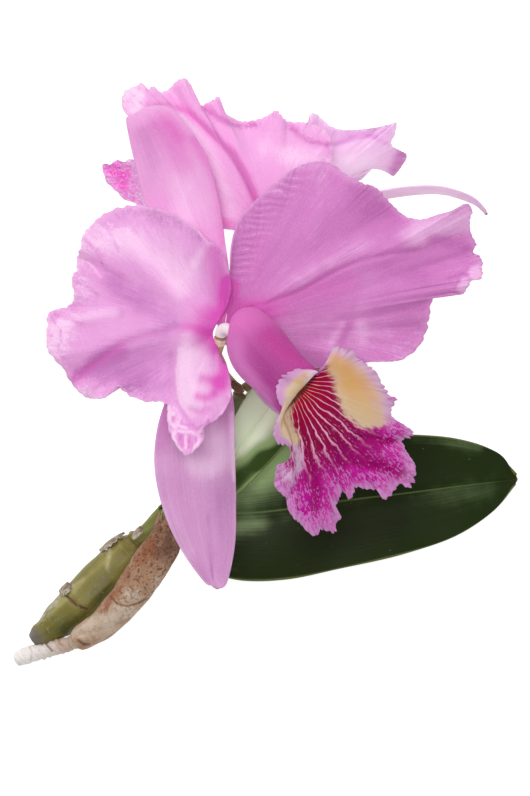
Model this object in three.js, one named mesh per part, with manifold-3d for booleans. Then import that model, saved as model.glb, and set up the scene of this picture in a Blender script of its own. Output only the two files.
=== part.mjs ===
// A cut division of a cattleya orchid, lying on a surface as it was picked.
// Two pseudobulbs stand on a piece of rhizome, each with one leaf, and the flower stem
// forks into two blooms.  Millimetres, +Z up.  The plan is drawn looking straight down.
import * as THREE from 'three';
import { mergeVertices } from 'three/addons/utils/BufferGeometryUtils.js';
import Module from 'manifold-3d';

const wasm = await Module();
wasm.setup();

// ---- Driving dimensions -------------------------------------------------------------
const PLAN_CENTRE = { x: -0.11, y: 9.49 };  // plan point that lies over the part's origin
const SEAT_GAP = 0.3;                 // clearance where one piece is seated on another
const PETAL_THICKNESS = 0.7;
const SEPAL_THICKNESS = 0.8;
const LEAF_THICKNESS = 1.3;
const PAPER_THICKNESS = 0.6;
const SHEATH_LIFT = 0.85;             // middle of the dry sheath above the skin under it
const FLOOR_TRIM = 60;                // size of the block that flattens a resting spot
const STEM_SIDES = 10;
const BULB_SIDES = 16;

const VELVET = { petal: '#dd97d6', sepal: '#e2a9dc', lip: '#b81c7c', column: '#f2e3e6' };
const GREENS = { stalk: '#c3b083', stem: '#44582c', leaf: '#3c5a2c', paleLeaf: '#7f9c6c', bulb: '#7c8a45' };
const DRY = { sheath: '#b79a80', bract: '#8a5b36', paper: '#d8c7ae', rhizome: '#c3ad98' };

// ---- Helpers ------------------------------------------------------------------------
const vec = (p) => new THREE.Vector3(p[0], p[1], p[2]);
const curveThrough = (points) => new THREE.CatmullRomCurve3(points.map(vec), false, 'catmullrom', 0.5);

function material(colour, roughness) {
  return new THREE.MeshStandardMaterial({ color: colour, roughness, metalness: 0 });
}

// Value at t (0 to 1) of a row of numbers spread evenly, eased between neighbours.
function along(values, t) {
  const place = THREE.MathUtils.clamp(t, 0, 1) * (values.length - 1);
  const first = Math.min(Math.floor(place), values.length - 2);
  const share = THREE.MathUtils.smoothstep(place - first, 0, 1);
  return THREE.MathUtils.lerp(values[first], values[first + 1], share);
}

function signedVolume(geometry) {
  const corner = [new THREE.Vector3(), new THREE.Vector3(), new THREE.Vector3()];
  const { index } = geometry;
  const { position } = geometry.attributes;
  let total = 0;
  for (let i = 0; i < index.count; i += 3) {
    corner.forEach((c, k) => c.fromBufferAttribute(position, index.getX(i + k)));
    total += corner[0].dot(corner[1].clone().cross(corner[2])) / 6;
  }
  return total;
}

// The row of grid vertices round the edge of a PlaneGeometry, in order.
function edgeLoop(columns, rows) {
  const width = columns + 1;
  const loop = [];
  for (let i = 0; i < columns; i += 1) loop.push(i);
  for (let j = 0; j < rows; j += 1) loop.push(j * width + columns);
  for (let i = columns; i > 0; i -= 1) loop.push(rows * width + i);
  for (let j = rows; j > 0; j -= 1) loop.push(j * width);
  return loop;
}

// A closed blade: both faces carry the same triangles, so a waved blade never crosses itself.
function bladeGeometry(surface, columns, rows, thickness) {
  const grid = new THREE.PlaneGeometry(1, 1, columns, rows);
  const { uv } = grid.attributes;
  const step = 0.004;
  const half = thickness / 2;
  const faces = [[], []];
  for (let i = 0; i < uv.count; i += 1) {
    const s = uv.getX(i);
    const t = uv.getY(i);
    const point = surface(s, t);
    const acrossS = surface(Math.min(s + step, 1), t).sub(surface(Math.max(s - step, 0), t));
    const acrossT = surface(s, Math.min(t + step, 1)).sub(surface(s, Math.max(t - step, 0)));
    const lift = acrossS.cross(acrossT).normalize().multiplyScalar(half);
    faces[0].push(...point.clone().add(lift).toArray());
    faces[1].push(...point.clone().sub(lift).toArray());
  }
  const triangles = Array.from(grid.index.array);
  const under = uv.count;
  const index = [...triangles];
  for (let i = 0; i < triangles.length; i += 3) {
    index.push(triangles[i] + under, triangles[i + 2] + under, triangles[i + 1] + under);
  }
  const loop = edgeLoop(columns, rows);
  loop.forEach((a, k) => {
    const b = loop[(k + 1) % loop.length];
    index.push(a, b, b + under, a, b + under, a + under);
  });
  const geometry = new THREE.BufferGeometry();
  geometry.setAttribute('position', new THREE.Float32BufferAttribute([...faces[0], ...faces[1]], 3));
  geometry.setIndex(index);
  return facingOut(geometry);
}

function facingOut(geometry) {
  if (signedVolume(geometry) < 0) {
    const { array } = geometry.index;
    for (let i = 0; i < array.length; i += 3) {
      [array[i + 1], array[i + 2]] = [array[i + 2], array[i + 1]];
    }
  }
  return geometry;
}

// A round or ribbed body along a path of [x, y, z, radius] points.
function stemGeometry(points, sides, steps, { ribs = 0, ribDepth = 0, grow = 0 } = {}) {
  const path = curveThrough(points);
  const radii = points.map((p) => p[3]);
  const frames = path.computeFrenetFrames(steps, false);
  const body = new THREE.CylinderGeometry(1, 1, 1, sides, steps);
  const { position } = body.attributes;
  for (let i = 0; i < position.count; i += 1) {
    const ring = Math.round((0.5 - position.getY(i)) * steps);
    const share = ring / steps;
    const angle = Math.atan2(position.getZ(i), position.getX(i));
    const radius = along(radii, path.getUtoTmapping(share)) * (1 + ribDepth * Math.cos(ribs * angle)) + grow;
    const past = { 0: -grow, [steps]: grow }[ring] ?? 0;
    const place = path.getPointAt(share).addScaledVector(frames.tangents[ring], past);
    place.addScaledVector(frames.normals[ring], position.getX(i) * radius);
    place.addScaledVector(frames.binormals[ring], position.getZ(i) * radius);
    position.setXYZ(i, place.x, place.y, place.z);
  }
  body.deleteAttribute('normal');
  body.deleteAttribute('uv');
  return facingOut(mergeVertices(body, 1e-4));
}

function solidOf(geometry) {
  const bare = geometry.clone();
  const extras = Object.keys(bare.attributes).filter((key) => key !== 'position');
  extras.forEach((key) => bare.deleteAttribute(key));
  const merged = mergeVertices(bare, 1e-4);
  return new wasm.Manifold(new wasm.Mesh({
    numProp: 3,
    vertProperties: new Float32Array(merged.attributes.position.array),
    triVerts: new Uint32Array(merged.index.array),
  }));
}

function geometryOf(solid) {
  const mesh = solid.getMesh();
  const geometry = new THREE.BufferGeometry();
  geometry.setAttribute('position', new THREE.Float32BufferAttribute(mesh.vertProperties, 3));
  geometry.setIndex(Array.from(mesh.triVerts));
  return geometry;
}

// The piece less its neighbours; what is left over as a loose crumb is dropped.
function cutBy(geometry, neighbours) {
  const cut = neighbours.reduce((solid, other) => solid.subtract(solidOf(other)), solidOf(geometry));
  const bodies = cut.decompose().sort((a, b) => b.volume() - a.volume());
  return geometryOf(bodies[0]);
}

// A block under the surface that the plant lies on: cutting with it leaves a resting flat.
function floorBlock(x, y) {
  const block = new THREE.BoxGeometry(FLOOR_TRIM, FLOOR_TRIM, FLOOR_TRIM);
  return block.translate(x, y, -FLOOR_TRIM / 2);
}

// A long blade between a left edge, a midrib and a right edge (sepals, leaves, bracts).
function stripSurface(left, middle, right) {
  const curves = [left, middle, right].map(curveThrough);
  return (s, t) => {
    const v = 2 * s - 1;
    const [a, b, c] = curves.map((curve) => curve.getPoint(t));
    a.multiplyScalar(v * (v - 1) / 2);
    return a.addScaledVector(b, 1 - v * v).addScaledVector(c, v * (v + 1) / 2);
  };
}

// The margin without its lobes: each point is the mean of those within reach along the edge.
function broadMargin(margin, reach) {
  const last = margin.length - 1;
  return curveThrough(margin.map((_, i) => {
    const span = Math.min(reach, i, last - i);
    const near = margin.slice(i - span, i + span + 1);
    return near[0].map((__, k) => near.reduce((sum, p) => sum + p[k], 0) / near.length);
  }));
}

// A broad blade that fans out from a narrow claw (petals): smooth inside, lobed at its margin.
// A flap leaves the blade at its root points and hangs from them only near the margin.
function fanSurface({ claw, margin, flapRoot }, { arch, waves, waveHeight }) {
  const inner = curveThrough(claw);
  const rooted = [...margin];
  rooted.splice(FLAP_START, flapRoot ? flapRoot.length : 0, ...(flapRoot ?? []));
  const broad = flapRoot ? curveThrough(rooted) : broadMargin(margin, 3);
  const outer = curveThrough(margin);
  const lobePower = flapRoot ? 8 : 3;
  return (s, t) => {
    const middle = broad.getPoint(s);
    const point = inner.getPoint(s).lerp(middle, t);
    point.addScaledVector(outer.getPoint(s).sub(middle), t ** lobePower);
    point.z += arch * Math.sin(Math.PI * t) + waveHeight * t ** 4 * Math.sin(2 * Math.PI * waves * s);
    return point;
  };
}

// ---- Front bloom --------------------------------------------------------------------
const FRONT_OVARY = [[-9.6, 3.2, 45.4, 1.9], [-12.6, 5.8, 50.5, 1.7], [-15.4, 9.6, 57, 1.5],
  [-16.4, 13, 62, 1.5], [-18.3, 17, 66.6, 1.6], [-18, 20.4, 69.8, 2], [-17.3, 23.6, 71.8, 2.5]];
const FRONT_COLUMN = [[-17.2, 23.9, 72.05, 2.5], [-16.8, 26, 73.6, 2.9], [-15, 26.8, 76, 2.7],
  [-11.5, 24.5, 80, 2.2], [-5, 18.5, 86, 2.3], [1, 12.5, 91, 3], [4, 9.5, 93.5, 2.2]];

const FRONT_LEFT_PETAL = {
  claw: [[-19.2, 20.6, 73.6], [-20.3, 25.5, 72.6], [-18, 30, 73.4]],
  margin: [[-17.5, 17.5, 74], [-13.5, 8.5, 80], [-13.3, 0.5, 86], [-17.5, -7.5, 89], [-24, -12.5, 86],
    [-30.5, -22.4, 84], [-37, -14, 80], [-39, -2, 76], [-45, -1, 75], [-53.5, 1.5, 72], [-58, 4.7, 76],
    [-66.5, -0.2, 72], [-74, 4, 70], [-79, 11.5, 74], [-84.5, 18.5, 80], [-84.4, 33, 76], [-76.8, 35.5, 70],
    [-75.4, 45, 75], [-73.3, 53, 69], [-71.8, 59.5, 73], [-68, 67.5, 68], [-58.5, 73.5, 66], [-48, 75, 70],
    [-35, 71.5, 74], [-25, 64.5, 78], [-17, 56, 81], [-13.6, 45, 80.5], [-14.6, 35.5, 77]],
};
const FRONT_RIGHT_PETAL = {
  claw: [[-15.2, 28.2, 74.2], [-14.6, 26.4, 73], [-14.8, 24.8, 72]],
  margin: [[-12.6, 38, 74], [-13.5, 48, 77], [-13, 59.5, 75], [-10, 69.5, 73], [-2.5, 78, 71],
    [7.5, 86.5, 69], [18.5, 92, 68], [26, 91, 69], [33, 86, 73], [43, 82, 74], [50, 74.8, 67], [57.5, 70, 62],
    [67, 71, 66], [78.8, 75.6, 74], [80, 66.5, 66], [81, 57.5, 60], [84.5, 52, 66], [83.5, 46.2, 72],
    [77, 40.8, 75], [68, 41.5, 70], [64.5, 35, 61], [62.5, 25, 57], [58.5, 18, 60], [50.5, 14.5, 66],
    [41, 14, 65], [31, 12.5, 60], [20.5, 14, 59], [8, 18.5, 61], [-4.5, 23.5, 64.5]],
};
const FRONT_DORSAL_SEPAL = {
  left: [[-18.2, 27.5, 71.9], [-24, 44.5, 66], [-36.5, 61.5, 61], [-46, 75, 58], [-50.5, 91, 57],
    [-54, 108.3, 54], [-52, 110.5, 50], [-48.8, 111.5, 47]],
  middle: [[-16.9, 27.9, 71.5], [-18.5, 45.5, 68], [-25, 62.5, 65.5], [-31.5, 80.5, 64], [-38, 96.5, 62],
    [-46, 110, 57], [-48, 112.3, 51], [-48, 112.2, 47]],
  right: [[-15.6, 28, 71.9], [-14, 46, 69], [-15.5, 60.5, 67.5], [-18, 77, 66], [-23.5, 95.5, 63],
    [-35, 111.3, 58], [-42.5, 114, 51], [-46.5, 112.5, 47]],
};
const FRONT_LEFT_SEPAL = {
  left: [[-20.8, 24.2, 70], [-29.5, 14.5, 66], [-39, -2, 62.5], [-43, -20.5, 62], [-41, -38.5, 61],
    [-34, -56.5, 60], [-24, -71, 57], [-20, -73.5, 55.5]],
  middle: [[-20.2, 22.9, 69.6], [-25.5, 13, 65], [-26.5, -4.5, 60.5], [-25.5, -22, 57.5], [-24.5, -40, 55.5],
    [-22, -56.5, 54.5], [-20.5, -69, 54.5], [-19, -74.5, 55.5]],
  right: [[-20.4, 21.5, 70], [-21.8, 13, 67], [-13, 2, 64.5], [-12, -20, 63], [-11.5, -40, 61],
    [-12, -57.5, 60],
    [-15, -72, 57], [-18, -74.3, 55.5]],
};
const FRONT_RIGHT_SEPAL = {
  left: [[-15.2, 24.4, 70.6], [-2, 19, 59], [10.5, 15.5, 55], [22, 8, 48], [33, -1.5, 42], [41, -12.5, 37],
    [43.5, -16.5, 35.5]],
  middle: [[-15.5, 23.3, 70.3], [-6, 14.5, 56], [4.5, 5.5, 47], [16, -2.5, 40], [28.5, -9.5, 36],
    [38.5, -15, 34.5],
    [43.4, -17.2, 35]],
  right: [[-15.8, 22, 70.4], [-9.5, 11, 56], [-1, -1, 45.5], [10.5, -10, 38.5], [24, -16.5, 35],
    [36.5, -18.5, 34],
    [43, -18, 35]],
};

// The lip: a tube rolled round the column, its free edges overlapping, which opens in a frilled blade.
const FRONT_LIP = {
  tube: [[-13.4, 25.9, 78, 3.1], [-8, 25.5, 82.3, 9.4], [-0.5, 17.5, 88, 11.2], [8.5, 7.5, 97.5, 10.3],
    [13.5, 2.5, 102, 10.8]],
  turn: [20, 66, 118, 168, 194, 216, 238, 258, 277, 296, 314, 338, 392],
  mouthFlat: 0.65,
  bulge: 3.5,
  waves: 13,
  waveHeight: 1.6,
  margin: [[18.5, 11, 99], [14, 12, 103], [9.5, 11, 106], [6, 6.5, 107], [4.5, 1.5, 106], [6.5, -4.5, 105],
    [7, -9, 104], [3.5, -13, 102], [6, -18, 99], [10.5, -21.5, 96], [5, -26.5, 94], [4.5, -33, 91],
    [8.5, -41, 87],
    [13.5, -49.5, 84], [20.5, -53, 81], [27.5, -50.5, 80], [27.5, -43, 83], [31.5, -37, 86],
    [39.5, -34.5, 86],
    [46.5, -38, 84], [54, -33.5, 83], [59, -29, 84], [54.5, -21, 88], [57.5, -13.5, 89], [51, -7, 92],
    [51, -0.5, 92], [45.5, 6, 93], [39.5, 13.5, 95], [33, 18.5, 98], [28, 19, 99], [24, 15.5, 98],
    [20.5, 11.5, 95]],
};

// ---- Back bloom ---------------------------------------------------------------------
const BACK_OVARY = [[-8.6, 3.4, 43.8, 1.9], [-2.5, 8.5, 43, 1.8], [3, 21, 41.5, 1.7], [8, 38, 42, 1.8],
  [11.6, 54, 45.5, 2.1], [10, 63.4, 50.6, 2.4], [7, 65.4, 51.3, 2.6]];
const BACK_COLUMN = [[6.6, 65.7, 51.3, 2.5], [4.2, 67, 50.9, 2.8], [0.8, 67.4, 48.2, 2.4],
    [-5, 68.5, 44, 2.1],
  [-12, 71, 39.5, 2.3], [-17, 72.8, 36.5, 2.9], [-19.5, 73.6, 35, 2.1]];

const BACK_UPPER_PETAL = {
  claw: [[3.6, 64.6, 53.9], [2.6, 67, 54.1], [3.6, 68.9, 54.3]],
  margin: [[-1, 60.5, 55], [-8, 65.5, 54], [-14.5, 66, 52], [-25.5, 67.5, 50], [-36.5, 74, 47],
    [-43, 85, 45], [-47.5, 96.5, 42], [-52.5, 107.5, 39], [-56, 115, 38], [-54, 120.5, 40], [-48, 123, 40],
    [-41, 119.5, 38], [-36.5, 121.5, 40], [-31.5, 124.8, 43], [-27.5, 118, 40], [-24.5, 114, 38],
    [-18.2, 117.8, 42], [-15.5, 111.2, 40], [-8.5, 108.2, 38], [-1.6, 109, 42], [4.4, 112.3, 45],
    [9, 108, 43], [16, 107.5, 45], [22.5, 105.6, 47], [26, 99, 48], [25.5, 90.5, 50], [20.5, 82, 52],
    [11.5, 76, 54.5]],
};
const BACK_RIGHT_PETAL = {
  claw: [[4.8, 69.3, 51], [6.4, 68.6, 50.7], [7.7, 67.8, 51]],
  margin: [[5.5, 77, 50], [8, 84, 47.5], [11, 92, 44], [14, 101, 40], [17.5, 110, 36], [20.5, 110.5, 34],
    [25.4, 106.4, 32], [32.5, 104.9, 29], [41.5, 105.5, 25.5], [51.2, 107.6, 23], [49.6, 100, 17],
    [55.2, 95.5, 9], [54, 91.8, 5], [50.4, 87.4, 2.5], [48.6, 93.2, 8], [44.4, 94.8, 13], [41.3, 89.4, 17],
    [35.2, 84.8, 24], [27, 80, 32], [17, 76, 43]],
  // The tip hangs down as a flap: these are the points it hangs from, in the place of margin
  // points eleven to fourteen.
  flapRoot: [[48.9, 98.2, 16], [48.2, 97.5, 15], [47.4, 96.8, 14.5], [46.5, 96.2, 14]],
};
const FLAP_START = 11;
const BACK_SIDE_SEPAL = {
  left: [[7.6, 67, 54.6], [21.5, 76, 58], [37, 79, 58], [52.5, 82, 56], [68, 82.5, 52], [80, 79, 44],
    [85.5, 74.5, 36], [86.5, 72.3, 32.5]],
  middle: [[7.7, 66.4, 53.6], [22, 74, 49.5], [37, 77, 45], [52.5, 79.5, 41], [68, 80.5, 38], [80, 77, 34],
    [85.5, 73.5, 31], [87, 71.8, 30.5]],
  right: [[7.8, 66, 52.6], [21.5, 72.5, 42], [37, 75.5, 33], [52.5, 79, 27], [68, 80, 25], [80, 77, 25],
    [85, 73.5, 27], [86.4, 71.6, 29]],
};
const BACK_LOW_SEPAL = {
  left: [[4.4, 64.1, 51], [-10, 50.5, 47], [-24.5, 52, 43], [-41, 53, 38], [-53.5, 52, 32],
    [-59.5, 48.5, 28.5]],
  middle: [[5.5, 63.6, 50.7], [-10.5, 44.5, 45], [-25.5, 43, 39], [-41, 44, 34], [-53.5, 45.5, 29.5],
    [-60, 47, 28]],
  right: [[6.7, 63.2, 51], [-7.5, 38, 46], [-23, 32, 41.5], [-39.5, 33.5, 37], [-52.5, 39, 31.5],
    [-59.5, 45.7, 28.5]],
};
const BACK_TOP_SEPAL = {
  left: [[3.4, 69.4, 48.6], [1, 83, 40], [7, 96, 29], [18, 103, 21], [29, 105, 15], [36, 103.5, 11.5]],
  middle: [[4.7, 69.8, 48.2], [9, 81, 36], [17, 91, 26], [27, 97, 18], [34, 100, 13], [38, 101.5, 10.5]],
  right: [[6, 69.8, 48.4], [15, 79, 36], [24, 86, 24], [33, 91, 16], [38, 96, 12], [39, 100, 10.5]],
};
const BACK_LIP = {
  tube: [[0.8, 67.3, 47.6, 3], [-4, 68.5, 43.5, 6.6], [-15, 72, 38, 8], [-30, 77, 30, 8.5], [-38, 80, 26, 9]],
  turn: [60, 110, 150, 175, 200, 222, 245, 268, 292, 318, 345, 372, 400, 432],
  mouthFlat: 0.9,
  bulge: 1.5,
  waves: 9,
  waveHeight: 1.2,
  margin: [[-33, 72, 38], [-44, 82, 38], [-48, 90, 36.5], [-51.5, 93.5, 35], [-56, 92, 31], [-63, 91.5, 26],
    [-62, 86, 20], [-58, 81, 12], [-54, 77, 5], [-50, 72, 1.4], [-44, 66, -0.4], [-36, 60, 2], [-29, 57, 9],
    [-25, 58, 19], [-24, 62, 29], [-27, 67, 36], [-31, 69.5, 38.5]],
};

// ---- Stems, leaves, pseudobulbs and rhizome -----------------------------------------
const FLOWER_STEM = [[-36.1, -43.6, 30, 2.2], [-26, -30.5, 36.5, 2.2], [-17, -13.5, 40.5, 2],
    [-11.8, -2.5, 43, 2],
  [-9.6, 2.2, 44.3, 2.5]];
const FLOWER_BRACT = {
  left: [[-9.9, 1.4, 47.5], [-12.7, 3.8, 51.8], [-13.9, 5.9, 54.9]],
  middle: [[-8.6, 2.1, 47.8], [-11.4, 4.5, 52.1], [-12.9, 6.4, 55.2]],
  right: [[-7.8, 3.3, 47.5], [-10.6, 5.7, 51.8], [-12.3, 7.4, 54.9]],
};
const LONG_LEAF = {
  left: [[-41.8, -43.2, 14.6], [-34, -36, 17], [-21, -28, 18], [-1, -19.5, 17.5], [17.5, -15.5, 17],
    [37, -14.5, 16],
    [58.5, -14.5, 15], [76, -16.5, 12], [90.5, -22.5, 6.4], [98.3, -30.3, 1.6]],
  middle: [[-40.6, -44.4, 13.2], [-33, -43.5, 12.8], [-21, -45, 12], [-5, -45, 11.5], [13, -43, 11.5],
    [33, -40, 12],
    [54, -37.5, 12], [73, -35, 9.5], [89.5, -33, 4.9], [99, -32, 0.5]],
  right: [[-38.8, -45.2, 14.6], [-33.8, -53, 15.5], [-27, -64.5, 16], [-12, -71, 16.5], [8, -71, 17],
    [31, -66.5, 17],
    [54.5, -61, 16], [74, -54.5, 12], [89.5, -44.5, 6.4], [98.3, -33.7, 1.6]],
};
const SHORT_LEAF = {
  left: [[-36.8, -42.9, 27.4], [-27.5, -25.5, 30], [-17, -14, 32.5], [-6.5, 2.5, 31.5], [4, 18.5, 29],
    [19.5, 36.5, 26],
    [38, 50, 22], [58, 54, 17]],
  middle: [[-35.4, -43.4, 25.8], [-24.5, -31.5, 25.8], [-11.5, -21, 26], [2.5, -2.5, 25.5], [17, 14, 23.5],
    [32.5, 30.5, 21], [48, 44, 19], [59.5, 52.5, 17]],
  right: [[-34, -44, 27.2], [-22, -40, 29], [-11.5, -38, 29.5], [8, -18.5, 28.5], [26, -1.5, 27],
    [41, 18, 25],
    [53.5, 36.5, 21.5], [59.5, 50.8, 17]],
};
const GREEN_BULB = [[-89.5, -94.5, 7, 3.4], [-85.5, -91.2, 6.6, 5.8], [-79.5, -86.3, 7, 7.6],
  [-72, -80, 7.9, 8.7], [-64.8, -72.6, 7.9, 8.8], [-58.3, -65.8, 7.8, 8.3], [-53.3, -60, 9, 7.2],
  [-50.2, -56.4, 10.4, 4.8], [-47.6, -53.2, 11.4, 3.3], [-44.3, -49, 12.3, 3], [-41, -44.6, 13, 3]];
const SHEATHED_BULB = [[-76.4, -96.4, 13, 2.6], [-70.5, -93.2, 16.5, 4.2], [-63.5, -88, 20.5, 5.2],
  [-57, -80.4, 24, 6.4], [-51, -72, 26.3, 7.5], [-46.2, -64.8, 27, 7.7], [-41.4, -57.8, 27.5, 6.8],
  [-38.6, -51.5, 28, 5.3], [-36.8, -46, 28, 4], [-36, -43.6, 28, 3.6]];
const RHIZOME = [[-98.4, -103, 5, 2.9], [-93, -100.8, 5.4, 3.5], [-86.5, -98.9, 6.4, 3.4],
  [-80.5, -97.4, 9, 3.2], [-75, -96, 12.2, 2.9]];

// The dry sheath hugs this stretch of the sheathed bulb (shares of its length) and is
// torn open along its underside.
const SHEATH = { from: 0.08, to: 0.86, open: 50, turn: 30 };
const SHEATH_FLAP = {
  left: [[-52, -54.4, 26.4], [-50.9, -52, 26.6], [-49, -49.8, 27.4]],
  middle: [[-51.9, -55.2, 28.7], [-50.4, -52.8, 29], [-48.4, -50.4, 29.6]],
  right: [[-50.8, -56, 29.8], [-49, -53.7, 30.2], [-46.6, -51.5, 30.6]],
};
const BULB_PAPERS = {
  green_bulb_upper_paper: {
    left: [[-65.2, -59.6, 7], [-60.6, -55.5, 8], [-55.4, -52.5, 9.7]],
    middle: [[-64.9, -59.9, 10.7], [-60.5, -55.8, 11.4], [-55.2, -52.7, 12.2]],
    right: [[-63.5, -61.2, 14], [-59.2, -57, 14.4], [-54.3, -53.6, 14.5]],
  },
  green_bulb_lower_paper: {
    left: [[-81.1, -75.9, 6.8], [-79.4, -73.8, 6.9], [-77.3, -72, 7.1]],
    middle: [[-80.5, -76.5, 11.5], [-79, -74.3, 11.8], [-76.8, -72.6, 11.9]],
    right: [[-78.8, -78.5, 14.8], [-77.1, -76.4, 15.3], [-74.9, -74.7, 15.4]],
  },
};

// ---- Building the pieces ------------------------------------------------------------
function lipSurface(lip) {
  const axis = curveThrough(lip.tube);
  const radii = lip.tube.map((p) => p[3]);
  const margin = curveThrough(lip.margin);
  const broad = broadMargin(lip.margin, 2);
  const up = new THREE.Vector3(0, 0, 1);
  const lastRing = lip.tube.length - 1;
  const overlap = 0.6;
  const tubePoint = (s, t) => {
    const tangent = axis.getTangent(t);
    const side = up.clone().cross(tangent).normalize();
    const top = tangent.clone().cross(side);
    const angle = THREE.MathUtils.degToRad(along(lip.turn, s));
    const flat = THREE.MathUtils.lerp(1, lip.mouthFlat, t ** 3);
    const height = Math.sin(angle) > 0 ? flat : 1;
    const radius = along(radii, t) + overlap * (1 - 2 * s);
    return axis.getPoint(t).addScaledVector(side, radius * Math.cos(angle))
      .addScaledVector(top, radius * height * Math.sin(angle));
  };
  return (s, t) => {
    if (t < 0.5) return tubePoint(s, 2 * t);
    const out = 2 * t - 1;
    const mouth = tubePoint(s, 1);
    const run = mouth.clone().sub(tubePoint(s, 1 - 0.5 / lastRing)).multiplyScalar(1.2);
    const middle = broad.getPoint(s);
    const wave = lip.waveHeight * out ** 2 * Math.sin(2 * Math.PI * lip.waves * s);
    const point = mouth.clone().lerp(middle, out);
    point.addScaledVector(margin.getPoint(s).sub(middle), out ** 2);
    point.addScaledVector(run, out * (1 - out) ** 2);
    point.z += lip.bulge * Math.sin(Math.PI * out) * out + wave;
    return point;
  };
}

// A sheet wrapped round a stretch of a bulb, open along one side.
function wrapSurface(points, stretch, lift) {
  const path = curveThrough(points);
  const radii = points.map((p) => p[3]);
  const up = new THREE.Vector3(0, 0, 1);
  return (s, t) => {
    const share = THREE.MathUtils.lerp(stretch.from, stretch.to, t);
    const tangent = path.getTangent(share);
    const side = tangent.clone().cross(up).normalize();
    const top = side.clone().cross(tangent);
    const span = 360 - stretch.open;
    const angle = THREE.MathUtils.degToRad(stretch.turn - 90 + stretch.open / 2 + span * s);
    const radius = along(radii, share) + lift;
    return path.getPoint(share).addScaledVector(side, radius * Math.cos(angle))
      .addScaledVector(top, radius * Math.sin(angle));
  };
}

const plant = new THREE.Group();
plant.position.set(-PLAN_CENTRE.x, -PLAN_CENTRE.y, 0);

function addPiece(name, geometry, look) {
  const mesh = new THREE.Mesh(geometry, look);
  mesh.name = name;
  plant.add(mesh);
}

function addPetal(name, petal, shape, seats) {
  const blade = bladeGeometry(fanSurface(petal, shape), 36, 5, PETAL_THICKNESS);
  addPiece(name, cutBy(blade, seats), material(VELVET.petal, 0.55));
}

function addSepal(name, sepal, seats) {
  const surface = stripSurface(sepal.left, sepal.middle, sepal.right);
  const blade = bladeGeometry(surface, 4, 14, SEPAL_THICKNESS);
  addPiece(name, cutBy(blade, seats), material(VELVET.sepal, 0.55));
}

function addLip(name, lip, columns, rows, seats) {
  const blade = bladeGeometry(lipSurface(lip), columns, rows, PETAL_THICKNESS);
  addPiece(name, cutBy(blade, seats), material(VELVET.lip, 0.45));
}

// Both blooms sit on the end of their ovary, and the column rises from it into the lip.
function bloomSeats(ovary, column) {
  return [ovary, column].map((path) => stemGeometry(path, STEM_SIDES, 12, { grow: SEAT_GAP }));
}

// The ovaries part from the end of the flower stem, the front one first.
function addOvaries() {
  const [stemSeat, frontSeat] = [FLOWER_STEM, FRONT_OVARY]
    .map((path) => stemGeometry(path, STEM_SIDES, 12, { grow: SEAT_GAP }));
  const front = cutBy(stemGeometry(FRONT_OVARY, STEM_SIDES, 12), [stemSeat]);
  const back = cutBy(stemGeometry(BACK_OVARY, STEM_SIDES, 12), [stemSeat, frontSeat]);
  addPiece('front_ovary', front, material(GREENS.stalk, 0.6));
  addPiece('back_ovary', back, material(GREENS.stalk, 0.6));
}

function addFrontBloom() {
  const seats = bloomSeats(FRONT_OVARY, FRONT_COLUMN);
  const column = cutBy(stemGeometry(FRONT_COLUMN, STEM_SIDES, 12), [seats[0]]);
  addPiece('front_column', column, material(VELVET.column, 0.45));
  addPetal('front_left_petal', FRONT_LEFT_PETAL, { arch: -2, waves: 11, waveHeight: 1 }, seats);
  addPetal('front_right_petal', FRONT_RIGHT_PETAL, { arch: -0.5, waves: 11, waveHeight: 1 }, seats);
  addSepal('front_dorsal_sepal', FRONT_DORSAL_SEPAL, seats);
  addSepal('front_left_sepal', FRONT_LEFT_SEPAL, seats);
  addSepal('front_right_sepal', FRONT_RIGHT_SEPAL, seats);
  addLip('front_lip', FRONT_LIP, 42, 9, seats);
}

function addBackBloom() {
  const seats = bloomSeats(BACK_OVARY, BACK_COLUMN);
  const column = cutBy(stemGeometry(BACK_COLUMN, STEM_SIDES, 12), [seats[0]]);
  addPiece('back_column', column, material(VELVET.column, 0.45));
  addPetal('back_upper_petal', BACK_UPPER_PETAL, { arch: 2, waves: 10, waveHeight: 1 }, seats);
  addPetal('back_right_petal', BACK_RIGHT_PETAL, { arch: 1.5, waves: 8, waveHeight: 0.6 }, seats);
  addSepal('back_side_sepal', BACK_SIDE_SEPAL, seats);
  addSepal('back_low_sepal', BACK_LOW_SEPAL, seats);
  addSepal('back_top_sepal', BACK_TOP_SEPAL, seats);
  addLip('back_lip', BACK_LIP, 28, 7, [...seats, floorBlock(-45, 65)]);
}

function addLeaves(greenBulb, sheathedBulb) {
  const longSurface = stripSurface(LONG_LEAF.left, LONG_LEAF.middle, LONG_LEAF.right);
  const longBlade = bladeGeometry(longSurface, 4, 18, LEAF_THICKNESS);
  addPiece('long_leaf', cutBy(longBlade, [greenBulb, floorBlock(99, -32)]), material(GREENS.leaf, 0.3));
  const shortSurface = stripSurface(SHORT_LEAF.left, SHORT_LEAF.middle, SHORT_LEAF.right);
  const shortBlade = bladeGeometry(shortSurface, 4, 16, LEAF_THICKNESS);
  addPiece('short_leaf', cutBy(shortBlade, [sheathedBulb]), material(GREENS.paleLeaf, 0.3));
}

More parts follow.
